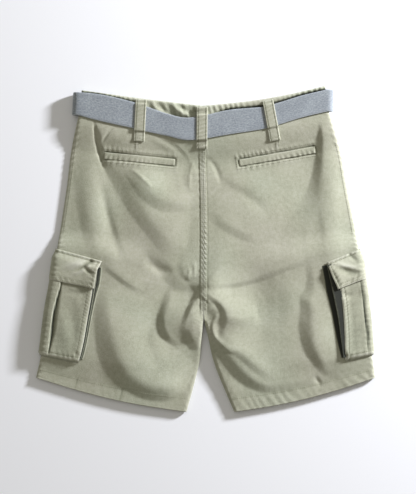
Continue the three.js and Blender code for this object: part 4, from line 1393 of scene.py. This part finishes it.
class SHORTS_OT_belt(bpy.types.Operator):
    """Webbing belt, right round the waistband, with its rolled edges and soft waves"""

    bl_idname = "shorts.belt"
    bl_label = "Belt"

    def execute(self, context):
        edges = belt_edges()
        top, low = edges[:, [0, 1, 4]], edges[:, [2, 3, 4]]
        edge = [0, 0.012, 0.03, 0.055]
        other_edge = [0.945, 0.97, 0.988, 1]
        shares = np.concatenate([edge, np.linspace(0.09, 0.91, 14), other_edge])
        grid = mix(top[:, None], low[:, None], shares[None, :, None])
        run = run_along(grid[:, 9])
        tangent = np.gradient(grid, axis=0)
        across = low - top
        normal = np.cross(tangent, across[:, None])
        normal /= np.linalg.norm(normal, axis=-1, keepdims=True)
        if normal[130, 9, 2] < 0:
            normal = -normal
        middle = (shares - 0.5)[None]
        rolled = -0.55 * smooth(np.abs(middle), 0.44, 0.5) + 0.18 * gauss(np.abs(middle) - 0.465, 0.016)
        wave = 0.35 * np.sin(run / 23)[:, None] * (shares[None] - 0.2) + 0.3 * np.sin(run / 41 + 1)[:, None]
        face = grid + normal * (BELT_THICKNESS / 2 + rolled + 0.5 * wave)[..., None]
        wear = 0.25 * smooth(np.abs(middle), 0.455, 0.485) + 0.7 * smooth(middle, 0.455, 0.48)
        wear = wear - 0.4 * gauss(middle - 0.44, 0.012) + np.zeros(grid.shape[:2])
        uv = (np.repeat(run[:, None], len(shares), 1), np.repeat(shares[None] * 40, len(run), 0))
        obj = sheet_mesh("belt_webbing", face, uv, wear)
        add_wall(obj, BELT_THICKNESS)
        fix_outward(obj, normal, face)
        finish_piece(obj, ["belt"], MATERIALS["webbing"])
        declare_sheet()
        return {"FINISHED"}


def fix_outward(obj, normals, grid):
    """Turns a sheet's faces round where they don't face the way that its normals do."""
    mesh = obj.data
    polygon = mesh.polygons[len(mesh.polygons) // 2]
    centre = np.array(polygon.center) * 1000 - CENTRED
    nearest = np.linalg.norm(grid.reshape(-1, 3) - centre, axis=1).argmin()
    if Vector(normals.reshape(-1, 3)[nearest]).dot(polygon.normal) < 0:
        mesh.flip_normals()


class SHORTS_OT_belt_loops(bpy.types.Operator):
    """Belt loops: folded strips over the belt, sewn down at both ends"""

    bl_idname = "shorts.belt_loops"
    bl_label = "Belt loops"

    def execute(self, context):
        for name, loop in LOOPS.items():
            grid, uv, wear = loop_grid(loop)
            facing = (0, 0, 1) if loop["back"] else (0, 0, -1)
            obj = sheet_mesh(name + "_cloth", grid, uv, wear, facing=facing)
            add_wall(obj, LOOP_CLOTH)
            finish_piece(obj, [name], MATERIALS["twill"])
            declare_sheet()
        return {"FINISHED"}


def loop_grid(loop):
    """Outer face of a loop, 27 points across and 64 down."""
    top, low = np.array(loop["top"], float), np.array(loop["low"], float)
    along = low - top
    length = np.linalg.norm(along)
    along /= length
    sideways = np.array([-along[1], along[0]])
    back = loop["back"]
    sign = 1 if back else -1
    s = np.linspace(0, length, 64)
    middle = top + s[:, None] * along
    belt = BELT_BACK if back else BELT_FRONT
    keys = [r["x"] for r in belt]
    belt_top = np.interp(middle[:, 0], keys, [r["top"] for r in belt])
    belt_low = np.interp(middle[:, 0], keys, [r["low"] for r in belt])
    over_belt = smooth(middle[:, 1], belt_low - 4, belt_low - 0.6)
    over_belt = over_belt * (1 - smooth(middle[:, 1], belt_top + 0.5, belt_top + 4))
    if back:
        base = np.where(middle[:, 1] > 190, BAND_BACK_TOP + 0.4, back_top(middle) + 0.3)
        belt_face = BELT_HIGH + BELT_THICKNESS / 2 + 0.35
    else:
        v, distance = HALVES[loop["half"]].place_of(middle)
        base = np.where(middle[:, 1] > 194, WAIST_LIFT - 0.4, underside(v, distance) - 0.8)
        belt_face = BELT_BOTTOM - 0.25
    level = mix(base, belt_face, over_belt)
    share = np.linspace(-0.5, 0.5, 27)
    place = middle[:, None] + sideways * (share * LOOP_WIDTH)[None, :, None]
    rounded = -0.5 * smooth(np.abs(share), 0.44, 0.5)
    rows = gauss(np.abs(share) - 0.34, 0.042)
    ripple = pucker(s[:, None], share[None] * LOOP_WIDTH * 0.2, 6.2, 9, 1.4, top[0] / 40)
    ends = smooth(np.minimum(s, length - s), 0, 2.2)
    folded = 0.7 * (1 - smooth(np.minimum(s, length - s), 4.5, 6.5)) if back else np.zeros(len(s))
    lift = LOOP_CLOTH + rounded[None] - 0.35 * rows[None] + 0.16 * ripple
    lift = lift + (folded + 0.5 * (ends - 1))[:, None]
    if not back:
        lift = np.minimum(lift, LOOP_CLOTH)
    grid = np.concatenate([place, (level[:, None] + sign * lift)[..., None]], axis=2)
    wear = 0.22 * ripple + 0.15 * smooth(np.abs(share), 0.4, 0.5)[None] - 0.9 * rows[None]
    wear = wear + 0.3 * (1 - ends)[:, None]
    uv = (np.repeat(share[None] * LOOP_WIDTH, len(s), 0), np.repeat(s[:, None], len(share), 1))
    return grid, uv, wear


# Pockets


class SHORTS_OT_back_pockets(bpy.types.Operator):
    """Welts of the two back pockets"""

    bl_idname = "shorts.back_pockets"
    bl_label = "Back pocket welts"

    def execute(self, context):
        for name in HALVES:
            corners = [np.array(c, float) for c in WELTS[name]]
            outer_top, inner_top, inner_low, outer_low = corners
            down = np.linspace(0, 1, 12)
            along = np.linspace(0, 1, 90)
            upper = mix(outer_top, inner_top, along[:, None])
            lower = mix(outer_low, inner_low, along[:, None])
            place = mix(upper[None], lower[None], down[:, None, None])
            under = back_top(place.reshape(-1, 2)).reshape(place.shape[:2])
            level = np.repeat(np.median(under[3:9], axis=0)[None], len(down), 0) + WELT_SEAT
            crown = 0.35 * np.sin(math.pi * np.clip(down, 0.02, 0.98)) ** 0.5
            length = np.linalg.norm(inner_top - outer_top)
            ripple = pucker((along * length)[None], (down * 10)[:, None] - 9, *GATHERS["welt"])
            top = level + crown[:, None] + 0.28 * ripple
            grid = np.concatenate([place, top[..., None]], axis=2)
            edges = 0.3 * gauss(down, 0.12) - 0.2 * gauss(down - 1, 0.1)
            wear = 0.35 * ripple - 0.1 + edges[:, None]
            uv = (np.repeat((along * length)[None], 12, 0), np.repeat((down * 10.6)[:, None], 90, 1))
            obj = sheet_mesh("back_welt_cloth_" + name, grid, uv, wear)
            add_wall(obj, 0.9)
            finish_piece(obj, ["back_welt_" + name], MATERIALS["twill"])
            declare_sheet()
        return {"FINISHED"}


def side_stops(back, front, step):
    """Distances round the side from a back edge to a front one, close together at both."""
    near = np.array([0, 0.5, 1.2, 2.2, 3.4])
    flat = np.linspace(back - 5, -front + 5, round((back + front) / step))
    return np.concatenate([back - near, flat, -front + near[::-1]])


def side_grid(back, front, step, kept):
    """Distances round the side for every row: even up to kept, and beyond it stretched to the back."""
    template = side_stops(WIDEST_BACK, front, step)[None]
    stretch = (back[:, None] - kept) / (WIDEST_BACK - kept)
    return np.where(template < kept, template, kept + (template - kept) * stretch)


POCKET_FOLDS = {
    "left": table(
        "ax ay bx by cx cy left right lift start end",
        (-232, -88, -222, -140, -214, -160, 12, 12, 1.8, 0.4, 0.4),
        (-205, -70, -200, -120, -206, -170, 9, 9, 1.4, 0.3, 0.3),
        (-220, -66, -205, -70, -190, -64, 5, 6, -1.2, 0.4, 0.4),
        (-200, -172, -206, -166, -212, -163, 3, 3, -1.0, 0.9, 0.2),
    ),
    "right": table(
        "ax ay bx by cx cy left right lift start end",
        (236, -75, 240, -110, 240, -150, 11, 11, 0.7, 0.4, 0.4),
        (218, -70, 232, -74, 250, -62, 5, 6, -1.5, 0.9, 0.5),
        (222, -160, 236, -166, 252, -158, 5, 5, 1.0, 0.4, 0.6),
        (216, -164, 221, -170, 226, -174, 3, 3, -1.3, 0.9, 0.3),
    ),
}


def pocket_section(half, v, around, rows):
    """How far a pocket's face stands off the leg, and its wear and painted shade, at places round the side.
    """
    back = column(rows, "back", v)
    flare = column(rows, "flare", v)
    pleat, gape, crest = (column(rows, name, v) for name in ("pleat", "gape", "crest"))
    bottom = rows[-1]["v"]
    shut = smooth(v, bottom - 0.008, bottom)
    reach = np.abs(around)
    inside = 1 - smooth(reach, pleat - 0.8, pleat + 0.8)
    dip = np.where(around > 0, 1.0, 0.5) * np.minimum(gape, 5) / 5
    valley = 2.0 * dip * (1 - smooth(reach - pleat, 0, np.maximum(gape, 2.5))) * (1 - inside)
    groove = 0.6 * gauss(reach - pleat - 1.2, 1.2) * (1 - shut)
    pleat_face = crest * inside
    edge = flare * smooth(around, back - 16, back - 2)
    front = smooth(-around, POCKET_FRONT - 12, POCKET_FRONT)
    open_lift = POCKET_LIFT + pleat_face + edge - valley - groove
    run = v * half.length
    edge_row = pucker(run, back - around - 6, *GATHERS["pocket edge"])
    rolled = 0.7 * gauss(back - around, 1.3)
    low_up = (bottom - v) * half.length
    hem_row = pucker(around, low_up - 6, *GATHERS["pocket hem"])
    row_groove = gauss(back - around - 7, 0.9) + gauss(low_up - 7.5, 0.9)
    lift = mix(open_lift, 1.9, np.maximum(shut, front))
    soft = 1 - front
    lift = lift + soft * (0.22 * edge_row + 0.24 * hem_row - rolled - 0.3 * row_groove)
    wear = soft * (0.3 * edge_row + 0.3 * hem_row - 0.4 * row_groove) + 0.5 * gauss(back - around, 1.4)
    wear = wear + 0.5 * gauss(reach - pleat + 0.6, 0.9) * smooth(crest, 0.5, 1.5)
    # painted shade: a dark line beside the pleat's edge, and darker cloth down in the valley under it
    slit = 1.3 if half.left else 1.6
    wear = wear - slit * gauss(reach - pleat - 0.9, 0.9) * smooth(crest, 0.3, 1)
    wear = wear - 0.55 * valley
    # lighter 3.6 mm above the pocket's lower edge, and painted shade in a thin dark line right at that edge,
    # where it meets the leg
    wear = wear + 0.6 * gauss(low_up - 3.6, 1.3) - 0.5 * gauss(low_up, 1.2)
    # the pocket's body is a little darker away from its back edge and bottom, the right one more
    body = smooth(back - around, 5, 14) * smooth(low_up, 4, 14)
    wear = wear - (0.22 if half.left else 0.3) * body * (around > 0)
    return lift, wear


class SHORTS_OT_cargo_pockets(bpy.types.Operator):
    """Cargo pockets with their pleats, and the bellows strips at their back edges"""

    bl_idname = "shorts.cargo_pockets"
    bl_label = "Cargo pockets"

    def pocket(self, half):
        rows = POCKETS[half.name]
        v = np.linspace(rows[0]["v"], rows[-1]["v"], 92)
        around = side_grid(column(rows, "back", v), POCKET_FRONT, 1.6, 20)
        vv = np.repeat(v[:, None], around.shape[1], 1)
        lift, wear = pocket_section(half, vv.ravel(), around.ravel(), rows)
        flat = on_side(half, vv, around, 0.0)
        crease = fold_lift(POCKET_FOLDS[half.name], flat.reshape(-1, 3)[:, :2])
        lift = lift + crease * smooth(around.ravel(), 6, 14)
        grid = on_side(half, vv, around, lift.reshape(around.shape))
        uv = (around, vv * half.length)
        obj = sheet_mesh("cargo_pocket_cloth_" + half.name, grid, uv, wear.reshape(around.shape))
        add_wall(obj, CLOTH)
        finish_piece(obj, ["cargo_pocket_" + half.name], MATERIALS["twill"])
        outward_by_centre(obj)
        declare_sheet()

    def bellows(self, half):
        rows = POCKETS[half.name]
        v = np.linspace(rows[0]["v"], rows[-1]["v"] - 0.012, 80)
        back, ridge, foot, flare = (column(rows, n, v) for n in ("back", "ridge", "foot", "flare"))
        wobble = 0.5 * np.sin(v * half.length / 9) + 0.4 * np.sin(v * half.length / 4.3 + 1)
        top = POCKET_LIFT + flare - 1.2
        hump = 0.45 if half.left else 1.0
        inward = 12 - 0.4 * (foot - back)
        line = [
            (foot + 1.8, -0.4),
            (foot + 0.6, 0.3),
            (foot - 0.4, 0.7),
            (mix(foot, ridge - inward, 0.5), 1.0),
            (ridge - inward, 1.1),
            (ridge - inward - 0.6, 1.7),
            (mix(ridge - inward, ridge, 0.6), 2.4),
            (ridge + 0.2 * wobble, 2.4 + hump * (0.8 + 0.3 * flare)),
            (ridge + 0.5 + 0.3 * wobble, 2.6 + hump * (1.3 + 0.3 * flare)),
            (ridge - 0.4, 2.8 + hump * (1.6 + 0.3 * flare)),
            (mix(ridge, back, 0.5), mix(2.8 + hump * (1.4 + 0.3 * flare), top, 0.55)),
            (back + 1.4, top),
            (back - 1.0, top + 0.2),
        ]
        around = np.column_stack([np.broadcast_to(a, v.shape) for a, _ in line])
        off = np.column_stack([np.broadcast_to(o, v.shape) for _, o in line])
        vv = np.repeat(v[:, None], around.shape[1], 1)
        grid = on_side(half, vv, around, off)
        # painted shade: the bellows are painted dark, near black in their hollow and darker still on the
        # right, where the pocket's edge shades them
        bellows_shade = np.array([-0.1, 0.1, -1.6, -2.4, -2.4, -2.4, -2.0, -1.1, -0.6, -1.1, -2.0, -2.4, -2.4])
        wear = np.repeat(bellows_shade[None], len(v), 0) - (0.0 if half.left else 0.6)
        across = np.cumsum(np.hypot(np.diff(around, axis=1, prepend=around[:, :1]), 0.4), axis=1)
        obj = sheet_mesh("cargo_bellows_" + half.name, grid, (across, vv * half.length), wear)
        smooth_sub(obj, 1)
        add_wall(obj, 0.9)
        finish_piece(obj, ["cargo_gusset_" + half.name], MATERIALS["twill"])
        declare_sheet()

    def execute(self, context):
        for half in HALVES.values():
            self.pocket(half)
            self.bellows(half)
        return {"FINISHED"}


def smooth_sub(obj, levels):
    sub = obj.modifiers.new("smooth", "SUBSURF")
    sub.levels = levels
    sub.render_levels = levels


def outward_by_centre(obj):
    """A sheet wrapped round the side faces away from the leg's inside."""
    mesh = obj.data
    best = max(mesh.polygons, key=lambda p: p.center.z)
    if best.normal.z < 0:
        mesh.flip_normals()


FLAP_FOLDS = {
    "left": table(
        "ax ay bx by cx cy left right lift start end",
        (-183, -20, -194, -28, -208, -37, 3, 3, -2.8, 0.9, 0.2),
        (-186, -26, -197, -33, -210, -41, 3, 3, 2.2, 0.8, 0.2),
        (-190, -14, -205, -24, -225, -28, 6, 6, 1.4, 0.3, 0.3),
        (-180, -40, -187, -35, -192, -30, 3.4, 3.4, -1.7, 0.3, 0.8),
    ),
    "right": table(
        "ax ay bx by cx cy left right lift start end",
        (207, -28, 228, -36, 246, -38, 4, 5, -1.6, 0.4, 0.4),
        (210, -24, 226, -28, 244, -30, 4, 4, 1.2, 0.4, 0.4),
        (228, -8, 238, -16, 246, -10, 3, 3, -1.4, 0.7, 0.7),
        (200, -34, 206, -46, 212, -56, 3, 3, -1.0, 0.4, 0.4),
    ),
}


def flap_width(flap, down):
    """How far round the back a flap reaches: it is nipped in just below its corner."""
    return mix(flap["top"], flap["low"], smooth(down, 0, flap["nip"]) * 0.8 + 0.2 * down)


def flap_at(half, down, around):
    """Outer face of a flap at places down it and round the side."""
    flap = FLAPS[half.name]
    back = flap_width(flap, down)
    front = POCKET_FRONT + 5
    over = smooth(down, 0, 0.35)
    share = np.clip(around / back, 0, 1)
    top = mix(flap["top_side"], flap["top_back"], share)
    low = mix(flap["low_side"], flap["low_back"], share)
    v = mix(top, low, down)
    edge = flap["flare"] * smooth(around, back - 26, back - 4)
    ended = smooth(-around, front - 10, front)
    open_lift = POCKET_LIFT + 0.5 + FLAP_CLOTH + edge
    lift = mix(2.4, open_lift, over * (1 - ended))
    from_low = (1 - down) * 0.12 * half.length
    from_top = down * 0.12 * half.length
    low_rows = pucker(around, from_low - 5, *GATHERS["flap hem"])
    top_rows = pucker(around, from_top - 3, *GATHERS["flap top"])
    side_rows = pucker(down * 55, back - around - 5, *GATHERS["flap edge"])
    soft = 1 - ended
    grooves = gauss(from_low - 3.6, 0.8) + gauss(from_low - 8.4, 0.8) + gauss(from_top - 5, 0.8)
    grooves = grooves + gauss(back - around - 4.4, 0.8)
    roll = gauss(from_low, 1.1) + gauss(back - around, 1.1)
    lift = lift + soft * (0.4 * low_rows + 0.34 * top_rows + 0.3 * side_rows - 0.22 * grooves) - 0.7 * roll
    ridge = 0.8 * gauss(from_top - 1.6, 1.4)
    lift = lift + ridge
    wear = soft * (0.3 * (low_rows + top_rows + side_rows) - 0.3 * grooves)
    wear = wear + 0.5 * gauss(from_low, 1.3) + 0.45 * gauss(back - around, 1.3)
    wear = wear + 0.5 * gauss(from_top - 1.6, 1.3) - 0.6 * gauss(from_top, 0.7)
    return v, lift, wear


class SHORTS_OT_cargo_flaps(bpy.types.Operator):
    """Flaps over the cargo pockets' mouths"""

    bl_idname = "shorts.cargo_flaps"
    bl_label = "Cargo flaps"

    def execute(self, context):
        for half in HALVES.values():
            flap = FLAPS[half.name]
            down = np.concatenate([np.linspace(0, 0.94, 38), [0.96, 0.975, 0.99, 1.0]])
            around = side_grid(flap_width(flap, down), POCKET_FRONT + 5, 1.7, 15)
            dd = np.repeat(down[:, None], around.shape[1], 1)
            v, lift, wear = flap_at(half, dd.ravel(), around.ravel())
            flat = on_side(half, v, around.ravel(), 0.0)
            crease = fold_lift(FLAP_FOLDS[half.name], flat[:, :2]) * smooth(around.ravel(), 4, 12)
            grid = on_side(half, v, around.ravel(), lift + crease).reshape(*around.shape, 3)
            uv = (around, v.reshape(around.shape) * half.length)
            # painted shade and highlight: darker along the flap's hollow creases and lighter along its
            # raised ones
            shaded = (wear + 0.4 * crease).reshape(around.shape)
            obj = sheet_mesh("cargo_flap_cloth_" + half.name, grid, uv, shaded)
            outward_by_centre(obj)
            add_wall(obj, FLAP_CLOTH)
            finish_piece(obj, ["cargo_flap_" + half.name], MATERIALS["twill"])
            declare_sheet()
        return {"FINISHED"}


# Sewing


def surface_of(piece):
    """The finished face of a piece, to lay sewing on."""
    return BVHTree.FromObject(bpy.data.objects[piece], bpy.context.evaluated_depsgraph_get())


def lay_on(surface, xy):
    """Points in plan, in mm, laid on the top of a piece; points beside it are left out."""
    laid = []
    for x, y in xy:
        start = Vector(metres((x, y, 200)))
        hit = surface.ray_cast(start, Vector((0, 0, -1)))[0]
        if hit is not None:
            laid.append(np.array(hit) * 1000 - CENTRED)
    return np.array(laid).reshape(-1, 3)


def along_row(ends, step=1.0):
    """Close points along a row given by a few points in plan."""
    ends = np.array(ends, float)
    run = run_along(ends)
    at = np.arange(0, run[-1], step)
    return np.column_stack([np.interp(at, run, ends[:, k]) for k in (0, 1)])


def stitch_places(row, pitch):
    """Middle, direction and length of each stitch along a row of close points."""
    if len(row) < 4:
        return np.zeros((0, 3)), np.zeros((0, 3)), np.zeros(0)
    run = run_along(row)
    starts = np.arange(0, run[-1] - pitch, pitch)
    first = np.column_stack([np.interp(starts, run, row[:, k]) for k in range(3)])
    last = np.column_stack([np.interp(starts + STITCH_SHARE * pitch, run, row[:, k]) for k in range(3)])
    span = last - first
    length = np.linalg.norm(span, axis=1)
    return (first + last) / 2, span / length[:, None], length


def stitch_mesh(name, rows, pitch, thickness):
    """All stitches of the rows as one mesh: copies of one rounded thread end to end."""
    bm = bmesh.new()
    bmesh.ops.create_uvsphere(bm, u_segments=6, v_segments=4, radius=0.5)
    shape = np.array([v.co for v in bm.verts])
    faces = [[v.index for v in f.verts] for f in bm.faces]
    bm.free()
    parts = [stitch_places(row, pitch) for row in rows]
    middle, way, length = (np.concatenate([part[k] for part in parts]) for k in range(3))
    up = np.array([0.0, 0.0, 1.0]) - way * way[:, 2:3]
    up /= np.linalg.norm(up, axis=1)[:, None]
    side = np.cross(up, way)
    points = middle[:, None] + up[:, None] * thickness * 0.2
    points = points + shape[None, :, 2:3] * way[:, None] * length[:, None, None]
    points = points + shape[None, :, 0:1] * side[:, None] * thickness
    points = points + shape[None, :, 1:2] * up[:, None] * thickness
    count = len(shape)
    mesh = bpy.data.meshes.new(name)
    joined = [[k + i * count for k in face] for i in range(len(middle)) for face in faces]
    mesh.from_pydata(metres(points.reshape(-1, 3)).tolist(), [], joined)
    return bpy.data.objects.new(name, mesh)


def panel_rows(half):
    """Sewing on a back panel: hem, seat seam, side seam, dart and pocket frame."""
    surface = surface_of("back_panel_" + half.name)
    rows = []
    v = np.linspace(0, 1, 400)
    width = half.section(v)[2]
    seat = (v > 0.06) & (v < 0.6)
    for from_seam in SEAT_ROWS:
        rows.append(half.plan(v[seat], width[seat] - from_seam))
    side = (v > 0.1) & (v < 0.43)
    rows.append(half.plan(v[side], np.full(side.sum(), SIDE_ROW)))
    hem_v = 1 - (HEM_HEIGHT - HEM_ROW) / half.length
    across = np.arange(4, half.section(hem_v)[2][0] - 3, 1.0)
    rows.append(half.plan(np.full(len(across), hem_v), across))
    for dart in DARTS:
        if dart["half"] == half.name:
            for off in (-2, 2):
                rows.append(along_row([(dart["x"] + off, dart["top"]), (dart["x"] + off, dart["low"] - 2)]))
    a, b, c, d = (np.array(corner, float) for corner in WELTS[half.name])
    run = (b - a) / np.linalg.norm(b - a)
    up = (a - d) / np.linalg.norm(a - d)
    box = [a - 4 * run + 5.2 * up, b + 4 * run + 5.2 * up, c + 4 * run - 4.4 * up, d - 4 * run - 4.4 * up]
    rows += [along_row([box[k], box[(k + 1) % 4]]) for k in range(4)]
    return [lay_on(surface, row) for row in rows]


def pocket_rows(half):
    """Sewing on a cargo pocket and its flap."""
    rows = []
    surface = surface_of("cargo_pocket_cloth_" + half.name)
    table_rows = POCKETS[half.name]
    v = np.linspace(table_rows[0]["v"] + 0.03, table_rows[-1]["v"] - 7.5 / half.length, 160)
    back = column(table_rows, "back", v)
    rows.append(lay_on(surface, on_side(half, v, back - 7, 0.0)[:, :2]))
    low = np.arange(9.0, back[-1] - 7, 1.0)
    rows.append(lay_on(surface, on_side(half, np.full(len(low), v[-1]), low, 0.0)[:, :2]))

    surface = surface_of("cargo_flap_cloth_" + half.name)
    flap = FLAPS[half.name]
    down = np.linspace(0.06, 0.97, 60)
    v_side = flap_at(half, down, flap_width(flap, down) - 4.4)[0]
    rows.append(lay_on(surface, on_side(half, v_side, flap_width(flap, down) - 4.4, 0.0)[:, :2]))
    for level in (0.09, 0.86, 0.94):
        reach = float(flap_width(flap, np.array([level]))[0])
        around = np.arange(8.0, reach - 4, 1.0)
        v_row = flap_at(half, np.full(len(around), level), around)[0]
        rows.append(lay_on(surface, on_side(half, v_row, around, 0.0)[:, :2]))
    return rows


def loop_rows():
    """Two rows down each belt loop at the back and a bar at its foot."""
    rows = []
    for name, loop in LOOPS.items():
        if not loop["back"]:
            continue
        surface = surface_of(name + "_cloth")
        top, low = np.array(loop["top"], float), np.array(loop["low"], float)
        along = (low - top) / np.linalg.norm(low - top)
        sideways = np.array([-along[1], along[0]])
        for off in (-LOOP_ROW, LOOP_ROW):
            ends = [top + 2 * along + off * sideways, low - along + off * sideways]
            rows.append(lay_on(surface, along_row(ends)))
        for back_up in (5.0, 6.2):
            foot = low - back_up * along
            rows.append(lay_on(surface, along_row([foot - 7 * sideways, foot + 7 * sideways])))
    return rows


class SHORTS_OT_stitching(bpy.types.Operator):
    """Stitches along the seams, hems, pockets, flaps and belt loops"""

    bl_idname = "shorts.stitching"
    bl_label = "Stitching"

    def execute(self, context):
        sizes = context.scene.shorts_sizes
        pitch, thickness = sizes.stitch_pitch * 1000, sizes.stitch_width * 1000
        rows = loop_rows()
        for half in HALVES.values():
            rows += panel_rows(half) + pocket_rows(half)
        obj = stitch_mesh("stitching", rows, pitch, thickness)
        finish_piece(obj, [], MATERIALS["thread"])
        return {"FINISHED"}


class SHORTS_OT_zip_teeth(bpy.types.Operator):
    """Teeth and slider of the closed zip, under the fly"""

    bl_idname = "shorts.zip_teeth"
    bl_label = "Zip teeth"

    def execute(self, context):
        top, foot = ZIP_RUN
        half = HALVES["left"]
        v, _ = half.place_of(np.array([[-5.0, top], [-5.0, foot]]))
        v = np.linspace(v[0], v[1], round((top - foot) / TOOTH_PITCH))
        at = heights(half, v, half.section(v)[2] - 1)
        middle = np.column_stack([at["xy"], at["low"] + CLOTH + GAP + ZIP_TAPE])
        middle[:, 0] += 1 + np.where(np.arange(len(v)) % 2, 1.1, -1.1)
        bm = bmesh.new()
        for place in middle:
            made = bmesh.ops.create_cube(bm, size=1)["verts"]
            for vert in made:
                vert.co = Vector(metres(place + np.array(vert.co) * TOOTH))
        slider = bmesh.ops.create_cube(bm, size=1)["verts"]
        for vert in slider:
            vert.co = Vector(metres(middle[0] + (0, 5, 1) + np.array(vert.co) * SLIDER))
        edges = list({edge for vert in slider for edge in vert.link_edges})
        bmesh.ops.bevel(
            bm, geom=edges, offset=0.0006, affect="EDGES", segments=2, profile=0.5, material=-1
        )
        mesh = bpy.data.meshes.new("zip_teeth")
        bm.to_mesh(mesh)
        bm.free()
        obj = bpy.data.objects.new("zip_teeth", mesh)
        finish_piece(obj, [], MATERIALS["metal"], smooth_shaded=False)
        return {"FINISHED"}


# Stage

# A small low key from the upper right draws the folds, and a wide fill softens their shade
LIGHTS = table(
    "name place size power tint",
    ("key", (1.88, 1.17, 0.7), 0.28, 125, (0.96, 0.985, 1.09)),
    ("fill", (-0.5, 0.9, 2.2), 1.6, 5, (1, 1, 1)),
)
SKY_TINT = (1.0, 0.97, 0.9, 1)
SKY_STRENGTH = 0.3

# Sensor width in mm, and the point of the table that the camera is over, in metres
SENSOR = 36
CAMERA_OVER = (0.0037, 0.0034)


class SHORTS_OT_stage(bpy.types.Operator):
    """Pale board, soft light from the upper right and a camera straight above"""

    bl_idname = "shorts.stage"
    bl_label = "Stage"

    def area_light(self, name, place, size, power, tint):
        data = bpy.data.lights.new(name, "AREA")
        data.shape = "SQUARE"
        data.size = size
        data.energy = power
        data.color = tint
        lamp = bpy.data.objects.new(name, data)
        lamp.location = place
        lamp.rotation_euler = (Vector((0, 0, 0)) - Vector(place)).to_track_quat("-Z", "Y").to_euler()
        bpy.context.scene.collection.objects.link(lamp)

    def execute(self, context):
        scene = context.scene
        sizes = scene.shorts_sizes
        bm = bmesh.new()
        bmesh.ops.create_grid(bm, x_segments=8, y_segments=8, size=3.0)
        mesh = bpy.data.meshes.new("shorts_floor")
        bm.to_mesh(mesh)
        bm.free()
        floor = bpy.data.objects.new("shorts_floor", mesh)
        scene.collection.objects.link(floor)
        mesh.materials.append(painted_board("painted_board", scene.shorts_look.floor))

        for light in LIGHTS:
            self.area_light(**light)
        world = bpy.data.worlds.new("studio")
        world.use_nodes = True
        background = world.node_tree.nodes["Background"]
        background.inputs["Color"].default_value = SKY_TINT
        background.inputs["Strength"].default_value = SKY_STRENGTH
        scene.world = world
        scene.view_settings.view_transform = "Standard"

        data = bpy.data.cameras.new("camera")
        data.lens = sizes.camera_lens
        data.sensor_width = SENSOR
        data.sensor_fit = "AUTO"
        camera = bpy.data.objects.new("camera", data)
        height = sizes.frame_height * sizes.camera_lens / SENSOR
        camera.location = (*CAMERA_OVER, height)
        scene.collection.objects.link(camera)
        scene.camera = camera
        return {"FINISHED"}


class SHORTS_OT_hardware(bpy.types.Operator):
    """Buckle, button and zip, which lie hidden at the front"""

    bl_idname = "shorts.hardware"
    bl_label = "Buckle, button and zip"

    def execute(self, context):
        looks = {"belt_buckle": "metal", "waist_button": "button", "fly_zip": "zip"}
        for name, material in looks.items():
            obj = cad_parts[name]
            obj.data.materials.clear()
            obj.data.materials.append(MATERIALS[material])
        return {"FINISHED"}


# Panel and start


class SHORTS_PT_panel(bpy.types.Panel):
    """Buttons for each piece of the shorts"""

    bl_idname = "SHORTS_PT_panel"
    bl_label = "Cargo Shorts"
    bl_space_type = "VIEW_3D"
    bl_region_type = "UI"
    bl_category = "Shorts"

    def draw(self, context):
        for operator in OPERATORS:
            self.layout.operator(operator.bl_idname)


OPERATORS = (
    SHORTS_OT_stage,
    SHORTS_OT_back_panels,
    SHORTS_OT_front_panels,
    SHORTS_OT_waistband,
    SHORTS_OT_belt,
    SHORTS_OT_belt_loops,
    SHORTS_OT_back_pockets,
    SHORTS_OT_cargo_pockets,
    SHORTS_OT_cargo_flaps,
    SHORTS_OT_stitching,
    SHORTS_OT_zip_teeth,
    SHORTS_OT_hardware,
)
CLASSES = (ShortsLook, ShortsSizes, *OPERATORS, SHORTS_PT_panel)


def register():
    for cls in CLASSES:
        bpy.utils.register_class(cls)
    bpy.types.Scene.shorts_look = bpy.props.PointerProperty(type=ShortsLook)
    bpy.types.Scene.shorts_sizes = bpy.props.PointerProperty(type=ShortsSizes)


def unregister():
    del bpy.types.Scene.shorts_look
    del bpy.types.Scene.shorts_sizes
    for cls in reversed(CLASSES):
        bpy.utils.unregister_class(cls)


def main():
    register()
    make_materials()
    for operator in OPERATORS:
        group, name = operator.bl_idname.split(".")
        getattr(getattr(bpy.ops, group), name)()


if __name__ == "__main__":
    main()
